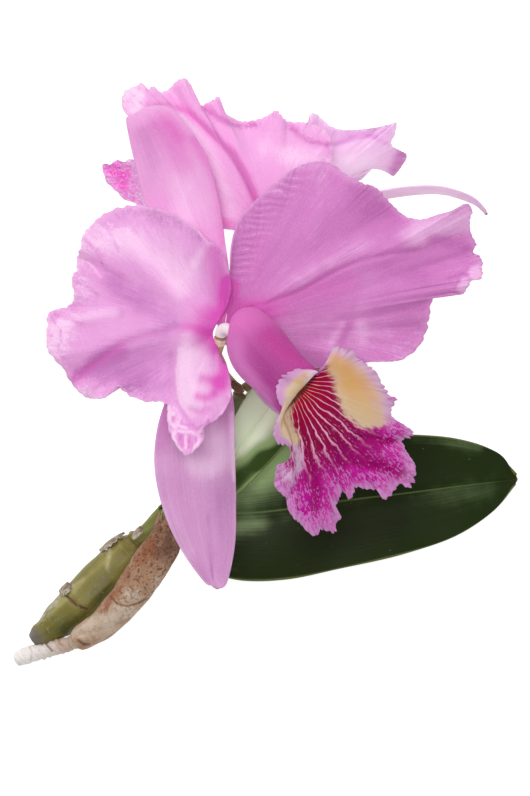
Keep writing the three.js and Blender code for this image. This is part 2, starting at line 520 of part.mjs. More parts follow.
function addBulbs() {
  const grow = { grow: SEAT_GAP };
  const rhizome = stemGeometry(RHIZOME, 12, 12);
  const rhizomeSeat = stemGeometry(RHIZOME, 12, 12, grow);
  const ribs = { ribs: 8, ribDepth: 0.02 };
  const wholeGreenBulb = stemGeometry(GREEN_BULB, BULB_SIDES, 18, ribs);
  const greenBulb = cutBy(wholeGreenBulb, [rhizomeSeat, floorBlock(-68, -78)]);
  const sheathedBulb = cutBy(stemGeometry(SHEATHED_BULB, BULB_SIDES, 16), [rhizomeSeat]);
  addPiece('rhizome', rhizome, material(DRY.rhizome, 0.85));
  addPiece('green_pseudobulb', greenBulb, material(GREENS.bulb, 0.5));
  addPiece('sheathed_pseudobulb', sheathedBulb, material(GREENS.bulb, 0.5));
  const sheathedSeat = stemGeometry(SHEATHED_BULB, BULB_SIDES, 16, grow);
  addLeaves(stemGeometry(GREEN_BULB, BULB_SIDES, 18, grow), sheathedSeat);
  const flowerStem = cutBy(stemGeometry(FLOWER_STEM, STEM_SIDES, 10), [sheathedSeat]);
  addPiece('flower_stem', flowerStem, material(GREENS.stem, 0.5));
}

function addPapers() {
  const sheath = bladeGeometry(wrapSurface(SHEATHED_BULB, SHEATH, SHEATH_LIFT), 14, 10, PAPER_THICKNESS);
  addPiece('dry_sheath', sheath, material(DRY.sheath, 0.8));
  const strips = { torn_sheath_flap: SHEATH_FLAP, flower_bract: FLOWER_BRACT, ...BULB_PAPERS };
  Object.entries(strips).forEach(([name, strip]) => {
    const blade = bladeGeometry(stripSurface(strip.left, strip.middle, strip.right), 4, 4, PAPER_THICKNESS);
    addPiece(name, blade, material(name === 'flower_bract' ? DRY.bract : DRY.paper, 0.8));
  });
}

addOvaries();
addFrontBloom();
addBackBloom();
addBulbs();
addPapers();

export default plant;
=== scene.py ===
"""A cut division of a cattleya in bloom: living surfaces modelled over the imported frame."""
import math

import bmesh
import bpy
import numpy as np
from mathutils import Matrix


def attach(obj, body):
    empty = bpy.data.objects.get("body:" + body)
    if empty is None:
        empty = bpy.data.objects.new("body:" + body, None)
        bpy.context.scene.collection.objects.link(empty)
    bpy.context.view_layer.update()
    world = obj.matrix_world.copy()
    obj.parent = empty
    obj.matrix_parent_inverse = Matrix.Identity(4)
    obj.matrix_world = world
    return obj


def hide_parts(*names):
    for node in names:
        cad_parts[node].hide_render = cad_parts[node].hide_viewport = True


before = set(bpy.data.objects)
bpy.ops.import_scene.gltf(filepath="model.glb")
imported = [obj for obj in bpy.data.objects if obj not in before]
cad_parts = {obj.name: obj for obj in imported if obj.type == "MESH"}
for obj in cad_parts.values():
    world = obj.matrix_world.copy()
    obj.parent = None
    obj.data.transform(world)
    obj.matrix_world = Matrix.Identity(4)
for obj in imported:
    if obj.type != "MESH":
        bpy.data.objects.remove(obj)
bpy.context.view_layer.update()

# ---- Sizes: millimetres in plan and above the surface, unless another unit is named -----
MM = 0.001
PLAN_CENTRE = (-0.11, 9.49, 0.0)
PETAL_THICKNESS = 0.55
SEPAL_THICKNESS = 0.7
LIP_THICKNESS = 0.5
LEAF_THICKNESS = 1.1
PAPER_THICKNESS = 0.3
SHEATH_LIFT = 0.75
FLOOR_GAP = 0.35              # the least height of any surface
MERGE_REACH = 2e-6            # metres
STEM_RINGS = 241              # places along a stem where its frame is kept
FINE_GRAIN = 1500             # cycles a metre
SEAM = 0.5                    # the t of a lip where its tube ends and its open blade starts
FAR_OUTSIDE = -6.0            # least depth inside an eye: 6 mm or more outside it
IMAGE_HEIGHT = 310.4          # millimetres of plan that the upright frame takes in
CAMERA_HEIGHT = 8.0           # metres
FOCUS_LEVEL = 0.058           # metres: height of the blooms, where the plan scale holds
SENSOR = 36.0
FLOOR_REACH = 4.0             # metres from the middle to each edge
FLOOR_GLOW = 0.85
SKY_GLOW = 0.34
BLOOM = (0, 0, 0.05)          # metres: where the lamps point
LAMPS = {                     # place and side in metres, then watts
    "top_softbox": ((-0.1, 0.2, 2.2), 0.7, 21),
    "key_softbox": ((-0.7, 1.1, 1.0), 1.0, 9),
    "fill_softbox": ((1.1, -0.3, 1.2), 1.2, 2),
}
UP = np.array([0.0, 0.0, 1.0])
WHITE = (1, 1, 1, 1)

# Every surface has two shares, 0 to 1: s runs round the margin or across the blade, and t from the
# foot outwards or along the blade. A grid is its number of steps in s and in t.
# Tints of petals and sepals are their hot, shade, body and pale colours; lace crumples the margin.
# Besides their real deeper and paler colour, the shade tint gives painted shade and the pale tint painted
# light.
# A flap hangs from its own root line, which takes the place of the broad margin from one point on.
PETALS = {
    "front_left_petal": {
        "claw": [(-19.2, 20.6, 73.6), (-20.3, 25.5, 72.6), (-18, 30, 73.4)],
        "margin": [
            (-18.5, 17, 73.6), (-14.8, 12, 77), (-13.6, 7, 81), (-13.2, 1, 85), (-14.6, -3, 88),
            (-18, -7.5, 89), (-21.8, -10, 88), (-25, -12.6, 87), (-23.9, -16, 86), (-26.8, -20, 85),
            (-30.5, -22.4, 84), (-33.5, -19.5, 83), (-36.6, -14.5, 81), (-38, -8.5, 79), (-38, -3, 77),
            (-41, -1.2, 76), (-47, -1.3, 75), (-53.5, 1.5, 72), (-57.9, 4.7, 75), (-61.9, 0.4, 74),
            (-66.8, -0.2, 72), (-70.3, 0.7, 70), (-74.8, 5, 70), (-78.7, 11.6, 74), (-84, 17.6, 79),
            (-85, 22, 80), (-84.8, 27, 78), (-84.2, 33, 76), (-79.5, 34.8, 72), (-76.8, 35.5, 71),
            (-74.3, 39.4, 73), (-75.3, 46.4, 74), (-73.3, 50, 71), (-73.3, 54.3, 69), (-71.8, 58.5, 72),
            (-71, 63, 72), (-68.8, 66.2, 69), (-64, 70.8, 67), (-58.5, 73.6, 66), (-51.9, 75, 67),
            (-44, 74.2, 70), (-37.1, 72.2, 73), (-31.1, 68.7, 75), (-26.1, 65.2, 77), (-22.5, 61.2, 79),
            (-19.5, 59.5, 80), (-16.2, 55.3, 81), (-13.9, 48.4, 81), (-13.4, 41.4, 80),
            (-15.2, 34.5, 76.5)],
        "arch": -2, "ruffle": (0.6, 1.3, 1.0, 1.3, 1.3, 1.0, 0.8, 0.6, 0.3), "seed": 3,
        "lace": 0.8, "grid": (300, 74), "tints": ("D850B8", "C07ABA", "E4A2D8", "F8CCEE"),
    },
    "front_right_petal": {
        "claw": [(-15.2, 28.2, 74.2), (-14.6, 26.4, 73), (-14.8, 24.8, 72)],
        "margin": [
            (-12.6, 38, 74), (-13.5, 48, 77), (-13, 59.5, 75), (-10, 69.5, 73), (-2.5, 78, 71),
            (7.5, 86.5, 69), (14, 90.5, 68), (20.5, 92, 68), (26, 91, 69), (33, 86, 73), (38, 83.6, 74),
            (43, 82, 73), (47, 78, 69), (50.7, 74.2, 65), (55.2, 70.5, 63), (61.4, 69.5, 63),
            (67.6, 71.3, 66), (73.5, 73, 70), (78.3, 75.6, 74), (80.7, 73.2, 72), (79.8, 69.5, 68),
            (80.2, 64.3, 64), (82.3, 60, 62), (81, 57, 61), (84.2, 54.5, 64), (84.6, 50, 68),
            (84.2, 46.6, 70), (80.7, 46, 70), (78.8, 43, 70), (76.6, 40.5, 69), (71.1, 41.2, 67),
            (67.4, 41.6, 65), (65, 38, 62), (64, 31.6, 60), (62.5, 25, 59), (59.5, 19.5, 60),
            (54, 15.3, 63), (49, 14.3, 65), (41, 14, 65), (31, 12.5, 61), (20.5, 12, 59),
            (8, 13.5, 60), (-4.5, 20.5, 64.5)],
        "arch": -0.5, "ruffle": (0.2, 0.25, 0.3, 0.5, 1.0, 1.4, 1.0, 0.9, 0.6, 0.3), "seed": 8,
        "lace": 0.3, "grid": (300, 74), "tints": ("D65CB8", "B25EA8", "CE7EC0", "EFBCE6"),
    },
    "back_upper_petal": {
        "claw": [(3.6, 64.6, 53.9), (2.6, 67, 54.1), (3.6, 68.9, 54.3)],
        "margin": [
            (-1, 60.5, 55), (-8, 65.5, 54), (-14.5, 66, 52), (-25.5, 67.5, 50), (-36.5, 74, 47),
            (-43, 85, 45), (-46, 96.5, 42), (-48.5, 107, 39), (-54.4, 111.4, 38), (-56, 115.6, 38),
            (-54.7, 120, 39), (-50.5, 122, 40), (-48, 123, 40), (-46.4, 120.4, 40), (-43.7, 121.7, 40),
            (-41, 119.5, 39), (-37.7, 120.6, 39), (-34.4, 123.9, 41), (-31.1, 124.8, 43), (-29, 122, 42),
            (-27.4, 117, 40), (-25.7, 114, 39), (-22.9, 115.2, 39), (-20.2, 116.5, 41), (-18.1, 117.8, 43),
            (-17.5, 114.5, 42), (-15.5, 111.2, 40), (-10.3, 108.3, 38), (-6, 108.2, 38), (-1.6, 109.1, 41),
            (1.7, 110.7, 43), (4.4, 112.3, 45), (7, 109.6, 45), (9, 108, 44), (14.3, 107.6, 44),
            (18.1, 107.3, 46), (22.5, 105.6, 47), (25, 102.8, 48), (26.3, 98, 48), (25.5, 90.5, 50),
            (20.5, 82, 52), (11.5, 76, 54.5)],
        "arch": 2, "ruffle": (0.3, 0.4, 0.6, 0.7, 0.8, 0.9, 0.9, 0.7, 0.4), "seed": 15,
        "lace": 0.7, "grid": (240, 56), "tints": ("E060B8", "CF78BC", "EFAADF", "FCD6F3"),
    },
    "back_right_petal": {
        "claw": [(4.8, 69.3, 51), (6.4, 68.6, 50.7), (7.7, 67.8, 51)],
        "margin": [
            (5.5, 77, 50), (8, 84, 47.5), (11, 92, 44), (14, 101, 40), (16.5, 107, 37), (18, 111, 36),
            (20.3, 110.7, 35), (25.4, 106.4, 33), (29.9, 104.9, 31), (35.3, 104.9, 28), (41.3, 105.5, 26),
            (45.2, 106.2, 25), (49.2, 107.1, 24), (51.4, 107.6, 24), (50.6, 103, 21), (49.4, 101, 19),
            (49.8, 98.8, 16), (52.2, 97.4, 12), (55.2, 95.8, 8), (55.2, 93.8, 6), (54, 91.8, 4),
            (52.6, 89.8, 3), (50.4, 87.4, 2), (50, 90, 4), (48.6, 93.2, 7), (46.6, 95.4, 10),
            (44.3, 94.8, 13), (42.9, 92, 15), (41.3, 89.4, 17), (39.3, 87.2, 20), (37.7, 85.8, 22),
            (34.9, 84.7, 25), (27, 80, 32), (17, 76, 43)],
        "flap_from": 16,
        "flap_root": [
            (48.8, 98.6, 16), (48.6, 98.2, 15.5), (48.3, 97.9, 15), (48, 97.6, 14.5), (47.6, 97.3, 14),
            (47.3, 97, 14), (47, 96.8, 13.5), (46.7, 96.5, 13.5), (46.3, 96.2, 13.5), (45.6, 95.6, 13.5)],
        "arch": 1.5, "ruffle": (0.6, 0.6), "seed": 21,
        "lace": 0.3, "grid": (210, 52), "tints": ("C878BA", "E6A4DE", "F8CAF0", "FFE8FB"),
    },
}

SEPAL_GRID = (28, 90)
SEPAL_TINTS = ("CE74C0", "C888C0", "DDA2D4", "EEC3E8")
SEPALS = {                    # each with SEPAL_GRID and SEPAL_TINTS unless it has its own
    "front_dorsal_sepal": {
        "left": [(-18.2, 27.5, 71.9), (-24, 44.5, 66), (-36.5, 61.5, 61), (-46, 75, 58),
                 (-50.5, 91, 57), (-54, 107.8, 54), (-51.6, 109.2, 50), (-48.2, 110.6, 47)],
        "middle": [(-16.9, 27.9, 71.5), (-18.5, 45.5, 68), (-25, 62.5, 65.5), (-31.5, 80.5, 64),
                   (-38, 96.5, 62), (-46, 110, 57), (-48, 112.3, 51), (-48, 112.2, 47)],
        "right": [(-15.6, 28, 71.9), (-14, 46, 69), (-15.5, 60.5, 67.5), (-18, 77, 66),
                  (-23.5, 95.5, 63), (-35, 111.3, 58), (-42.5, 114, 51), (-46.5, 112.5, 47)],
        "grid": (44, 140), "tints": ("D64FB4", "CE86C2", "E6A2D6", "F8CDEE"),
    },
    "front_left_sepal": {
        "left": [(-20.8, 24.2, 70), (-29.5, 14.5, 66), (-39, -2, 62.5), (-43, -20.5, 62),
                 (-41, -38.5, 61), (-34, -56.5, 60), (-24, -71, 57), (-20, -73.5, 55.5)],
        "middle": [(-20.2, 22.9, 69.6), (-25.5, 13, 65), (-26.5, -4.5, 60.5), (-25.5, -22, 57.5),
                   (-24.5, -40, 55.5), (-22, -56.5, 54.5), (-20.5, -69, 54.5), (-19, -74.5, 55.5)],
        "right": [(-20.4, 21.5, 70), (-21.8, 13, 67), (-13, 2, 64.5), (-12, -20, 63),
                  (-11.5, -40, 61), (-12, -57.5, 60), (-15, -72, 57), (-18, -74.3, 55.5)],
        "grid": (44, 140), "tints": ("D27CC4", "BA7EB6", "D49ECC", "EFCAE9"),
    },
    "front_right_sepal": {
        "left": [(-15.2, 24.4, 70.6), (-2, 19, 59), (10.5, 15.5, 55), (22, 8, 48), (33, -1.5, 42),
                 (41, -12.5, 37), (43.5, -16.5, 35.5)],
        "middle": [(-15.5, 23.3, 70.3), (-6, 14.5, 56), (4.5, 5.5, 47), (16, -2.5, 40),
                   (28.5, -9.5, 36), (38.5, -15, 34.5), (43.4, -17.2, 35)],
        "right": [(-15.8, 22, 70.4), (-9.5, 11, 56), (-1, -1, 45.5), (10.5, -10, 38.5),
                  (24, -16.5, 35), (36.5, -18.5, 34), (43, -18, 35)],
    },
    "back_side_sepal": {
        "left": [(7.6, 67, 54.6), (21.5, 76, 58), (37, 79, 58), (52.5, 82, 56), (68, 82.5, 52),
                 (80, 79, 44), (85.5, 74.5, 36), (86.5, 72.3, 32.5)],
        "middle": [(7.7, 66.4, 53.6), (22, 74, 49.5), (37, 77, 45), (52.5, 79.5, 41), (68, 80.5, 38),
                   (80, 77, 34), (85.5, 73.5, 31), (87, 71.8, 30.5)],
        "right": [(7.8, 66, 52.6), (21.5, 72.5, 42), (37, 75.5, 33), (52.5, 79, 27), (68, 80, 25),
                  (80, 77, 25), (85, 73.5, 27), (86.4, 71.6, 29)],
        "tints": ("D88CCC", "E0AAD8", "F0C6E8", "FFE6FA"),
    },
    "back_low_sepal": {
        "left": [(4.4, 64.1, 51), (-10, 50.5, 47), (-24.5, 52, 43), (-41, 53, 38), (-53.5, 52, 32),
                 (-59.5, 48.5, 28.5)],
        "middle": [(5.5, 63.6, 50.7), (-10.5, 44.5, 45), (-25.5, 43, 39), (-41, 44, 34),
                   (-53.5, 45.5, 29.5), (-60, 47, 28)],
        "right": [(6.7, 63.2, 51), (-7.5, 38, 46), (-23, 32, 41.5), (-39.5, 33.5, 37),
                  (-52.5, 39, 31.5), (-59.5, 45.7, 28.5)],
    },
    "back_top_sepal": {
        "left": [(3.4, 69.4, 48.6), (1, 83, 40), (7, 96, 29), (18, 103, 21), (29, 105, 15),
                 (36, 103.5, 11.5)],
        "middle": [(4.7, 69.8, 48.2), (9, 81, 36), (17, 91, 26), (27, 97, 18), (34, 100, 13),
                   (38, 101.5, 10.5)],
        "right": [(6, 69.8, 48.4), (15, 79, 36), (24, 86, 24), (33, 91, 16), (38, 96, 12),
                  (39, 100, 10.5)],
    },
}

# A lip's tube and every stem are points with a radius. Turn is the degrees round the tube where each
# stretch of margin starts; inlets move the broad margin, calm is the stretch of s with little frill,
# the lines fan out from fan_from, and an eye is its centre and radius.
LIPS = {
    "front_lip": {
        "tube": [(-11.8, 25.6, 78.4, 3.1), (-6.9, 25.2, 82.3, 9.9), (-0.9, 17.1, 88, 11.8),
                 (8.4, 7.4, 97.5, 10.5), (13.5, 2.5, 102, 10.8)],
        "turn": [20, 94, 167, 196, 218, 237, 252, 265, 280, 298, 313, 331, 392],
        "mouth_flat": 0.3, "throat_flat": 0.34, "lean": 1.5, "bulge": 3.5, "ruffle": 0.9, "seed": 31,
        "margin": [
            (19.7, 10.5, 99), (16.7, 11.3, 102), (13.6, 11.5, 104), (9.8, 10.1, 106), (6.8, 8.2, 107),
            (4.5, 4.4, 107), (4.9, -0.2, 106), (6.8, -4, 105.5), (6.4, -6.5, 105), (4.8, -8.2, 104.5),
            (3.6, -11.6, 103), (3.3, -14.2, 102), (5.2, -17.7, 100), (8.3, -18.1, 99), (10.2, -20.7, 97),
            (10.6, -23.8, 95.5), (8.3, -26.1, 95), (5.2, -26.1, 94.5), (4.1, -29.9, 93), (3.7, -33.7, 91.5),
            (5.6, -36.4, 90), (8.3, -39, 88.5), (8.9, -42.8, 87), (11.3, -46.7, 85.5), (13.6, -48.6, 84),
            (16.7, -52, 82), (19.7, -53.5, 81), (22, -50.9, 81), (24.3, -51.6, 80.5), (27.4, -52, 80),
            (27.4, -48.9, 81), (29.6, -46.4, 81.5), (27, -44.8, 82.5), (27.7, -41.3, 83.5),
            (28.9, -38.7, 85), (30.4, -36.1, 86), (32.7, -39.2, 85.5), (34.2, -37.5, 86),
            (35.1, -34.5, 86.5), (38.8, -35.2, 86), (41.8, -35.4, 86), (44.7, -36.1, 85),
            (46, -39.2, 84), (48.7, -37.9, 84), (51.1, -34.5, 83.5), (52.9, -33.1, 83),
            (55.6, -34.8, 83), (58, -31.6, 84), (58.4, -26.5, 85.5), (56.3, -23, 87), (54.4, -20, 88),
            (53.3, -16.2, 88.5), (56.3, -15, 89), (57.5, -13.1, 89), (54.4, -10.8, 90.5),
            (51.7, -9.3, 91.5), (49.1, -7, 92), (49.1, -4, 92), (51, -0.2, 92), (48.3, 0.6, 92),
            (47, 2.9, 92.5), (44.9, 6.3, 93), (43.4, 9.7, 94), (40.7, 12, 95), (37.6, 14.3, 95.5),
            (35.4, 15.8, 96.5), (33.5, 19.3, 98), (30.8, 18.9, 98.5), (28.1, 19.9, 99),
            (26, 19.3, 98.5), (25.2, 16, 98), (24.2, 12.8, 97), (21.5, 11.3, 95.5)],
        "inlets": {12: [(6.2, -16), (8, -17.5), (11.5, -21), (12.3, -23.8), (13, -27), (13.8, -29.5),
                        (14.5, -33), (14.5, -36), (14.5, -38.5), (14.5, -40.5), (14, -43), (14, -46)],
                   29: [(25, -47.5), (26, -46), (27, -44.5), (27, -42.5), (27.6, -40.3), (28.6, -38),
                        (30, -35.8)]},
        "calm": (0.66, 0.72, 0.96, 0.99),
        "fan_from": (9.5, 6.5),
        "eyes": [(27.8, 15.5, 3.3), (28, 12, 4.2), (32, 10.5, 6.4), (35.2, 4.5, 8.4), (37.6, -0.5, 9),
                 (40.5, -5, 7.2), (44, -8.5, 3.6), (7.4, -5.5, 3), (7.6, -9.5, 3.2), (8.6, -13.2, 3.2),
                 (11.2, -15.6, 2.6), (15, 8.2, 2), (12.6, 5.4, 3.3), (9.8, 2.2, 3.4), (8, -2.4, 2.8)],
    },
    "back_lip": {
        "tube": [(0.8, 67.3, 47.6, 3), (-4, 69.5, 43.5, 6.2), (-15, 74, 38, 7.2), (-30, 77.5, 30, 8.2),
                 (-38, 80, 26, 9)],
        "turn": [60, 110, 150, 175, 200, 222, 245, 268, 292, 318, 345, 372, 400, 432],
        "mouth_flat": 0.9, "throat_flat": 1, "lean": 0, "bulge": 1.5, "ruffle": 1.0, "seed": 43,
        "margin": [
            (-33, 72, 38), (-44, 82, 38), (-48, 90, 36.5), (-52.7, 93.4, 35), (-55.5, 91.9, 33),
            (-57.8, 93, 30), (-60.5, 91.2, 28), (-63.4, 91.5, 25), (-63.3, 88.4, 22), (-61.2, 84, 17),
            (-57.8, 80.9, 12), (-55.6, 78.3, 8), (-50.5, 76.3, 4), (-44, 67, 1.6), (-36, 60, 2),
            (-29, 57, 9), (-25, 58, 19), (-24, 62, 29), (-27, 67, 36), (-31, 69.5, 38.5)],
        "inlets": {},
        "calm": None,
        "fan_from": (-30, 78),
        "eyes": [],
    },
}

STEMS = {
    "front_ovary": [(-9.6, 3.2, 45.4, 1.9), (-12.6, 5.8, 50.5, 1.7), (-15.4, 9.6, 57, 1.5),
                    (-16.4, 13, 62, 1.5), (-18.3, 17, 66.6, 1.6), (-18, 20.4, 69.8, 2),
                    (-17.3, 23.6, 71.8, 2.5)],
    "front_column": [(-17.2, 23.9, 72.05, 2.3), (-16.8, 26, 73.6, 2.4), (-15, 26.8, 76, 2.4),
                     (-11.5, 24.5, 80, 2.2), (-5, 18.5, 86, 2.3), (1, 12.5, 91, 3), (4, 9.5, 93.5, 2.2)],
    "back_ovary": [(-8.6, 3.4, 43.8, 1.9), (-2.5, 8.5, 43, 1.8), (3, 21, 41.5, 1.7), (8, 38, 42, 1.8),
                   (11.6, 54, 45.5, 2.1), (10, 63.4, 50.6, 2.4), (7, 65.4, 51.3, 2.6)],
    "back_column": [(6.6, 65.7, 51.3, 2.5), (4.2, 67, 50.9, 2.8), (0.8, 67.4, 48.2, 2.4),
                    (-5, 68.5, 44, 2.1), (-12, 71, 39.5, 2.3), (-17, 72.8, 36.5, 2.9),
                    (-19.5, 73.6, 35, 2.1)],
    "flower_stem": [(-36.1, -43.6, 30, 2.2), (-26, -30.5, 36.5, 2.2), (-17, -13.5, 40.5, 2),
                    (-11.8, -2.5, 43, 2), (-9.6, 2.2, 44.3, 2.5)],
    "green_pseudobulb": [(-91.4, -95.6, 6.4, 2.8), (-87.2, -92.4, 6.6, 4.8), (-79.8, -86.5, 7, 7.2),
                         (-72, -80, 7.9, 8.7), (-64.8, -72.6, 7.9, 8.8), (-58.3, -65.8, 7.8, 8.3),
                         (-53.3, -60, 9, 7.2), (-50.2, -56.6, 10.4, 4.8), (-47.3, -53.8, 11.4, 3.6),
                         (-43.5, -49.5, 12.3, 3.2), (-39, -44.2, 13, 3)],
    "sheathed_pseudobulb": [(-76.4, -96.4, 13, 2.6), (-70.5, -93.2, 16.5, 4.1), (-63.2, -88.3, 20.5, 4.9),
                            (-56.3, -81, 24, 5.6), (-50, -72.9, 26.3, 6.3), (-45.2, -65.7, 27, 6.5),
                            (-40.6, -58.5, 27.5, 6), (-38.2, -51.9, 28, 4.9), (-36.8, -46, 28, 4),
                            (-36, -43.6, 28, 3.6)],
    "rhizome": [(-98.4, -103, 5, 2.9), (-93, -100.8, 5.4, 3.5), (-86.5, -98.9, 6.4, 3.4),
                (-80.5, -97.4, 9, 3.2), (-75, -96, 12.2, 2.9)],
}

LEAVES = {                    # tints: dark, mid, light and fresh
    "long_leaf": {
        "left": [(-41.8, -43.2, 14.6), (-34, -36, 17), (-21, -28, 18), (-1, -19.5, 17.5),
                 (17.5, -15.5, 17), (37, -14.5, 16), (58.5, -14.5, 15), (76, -16.2, 12),
                 (90.8, -21.2, 6.4), (98.5, -30, 1.6)],
        "middle": [(-40.6, -44.4, 13.2), (-33, -43.5, 12.8), (-21, -45, 12), (-5, -45, 11.5),
                   (13, -43, 11.5), (33, -40, 12), (54, -37.5, 12), (73, -35, 9.5), (89.5, -33, 4.9),
                   (99, -32, 0.9)],
        "right": [(-38.8, -45.2, 14.6), (-33.8, -53, 15.5), (-27, -64.5, 16), (-12, -71, 16.5),
                  (8, -71, 17), (31, -66.5, 17), (54.5, -61, 16), (74, -54.5, 12), (89.5, -44.5, 6.4),
                  (98.3, -33.7, 1.6)],
        "tints": ("151F07", "202E0C", "A8C488", "667E42"),
    },
    "short_leaf": {
        "left": [(-36.8, -42.9, 27.4), (-27.5, -25.5, 30), (-17, -14, 32.5), (-6.5, 2.5, 31.5),
                 (4, 18.5, 29), (19.5, 36.5, 26), (38, 50, 22), (58, 54, 17)],
        "middle": [(-35.4, -43.4, 25.8), (-24.5, -31.5, 25.8), (-11.5, -21, 26), (2.5, -2.5, 25.5),
                   (17, 14, 23.5), (32.5, 30.5, 21), (48, 44, 19), (59.5, 52.5, 17)],
        "right": [(-34, -44, 27.2), (-22, -40, 29), (-11.5, -38, 29.5), (8, -18.5, 28.5),
                  (26, -1.5, 27), (41, 18, 25), (53.5, 36.5, 21.5), (59.5, 50.8, 17)],
        # The short leaf's tints are far lighter than the long leaf's: painted sheen, and painted light
        # where the blooms shade it.
        "tints": ("34501C", "94B676", "EAFFD8", "86A64E"),
    },
}

# The sheath runs between two shares of its bulb and stays open by some degrees, turned from below.
# Tints of a husk are its base, dark, pale and rust; a paper without tints is plain old paper.
SHEATH = {
    "from": 0.06, "to": 0.86, "open": 50, "turn": 30, "tints": ("A88466", "70503A", "CCB8A4", "8A4A20"),
}
PAPERS = {
    "torn_sheath_flap": {
        "left": [(-52, -54.4, 26.4), (-50.9, -52, 26.6), (-49, -49.8, 27.4)],
        "middle": [(-51.9, -55.2, 28.7), (-50.4, -52.8, 29), (-48.4, -50.4, 29.6)],
        "right": [(-50.8, -56, 29.8), (-49, -53.7, 30.2), (-46.6, -51.5, 30.6)],
    },
    "flower_bract": {
        "left": [(-9.9, 1.4, 47.5), (-12.7, 3.8, 51.8), (-13.9, 5.9, 54.9)],
        "middle": [(-8.6, 2.1, 47.8), (-11.4, 4.5, 52.1), (-12.9, 6.4, 55.2)],
        "right": [(-7.8, 3.3, 47.5), (-10.6, 5.7, 51.8), (-12.3, 7.4, 54.9)],
        "tints": ("6E4526", "40240F", "9A7248", "5B3018"),
    },
    "green_bulb_upper_paper": {
        "left": [(-65.2, -59.6, 7), (-60.6, -55.5, 8), (-55.4, -52.5, 9.7)],
        "middle": [(-64.9, -59.9, 10.7), (-60.5, -55.8, 11.4), (-55.2, -52.7, 12.2)],
        "right": [(-63.5, -61.2, 14), (-59.2, -57, 14.4), (-54.3, -53.6, 14.5)],
    },
    "green_bulb_lower_paper": {
        "left": [(-81.1, -75.9, 6.8), (-79.4, -73.8, 6.9), (-77.3, -72, 7.1)],
        "middle": [(-80.5, -76.5, 11.5), (-79, -74.3, 11.8), (-76.8, -72.6, 11.9)],
        "right": [(-78.8, -78.5, 14.8), (-77.1, -76.4, 15.3), (-74.9, -74.7, 15.4)],
    },
}
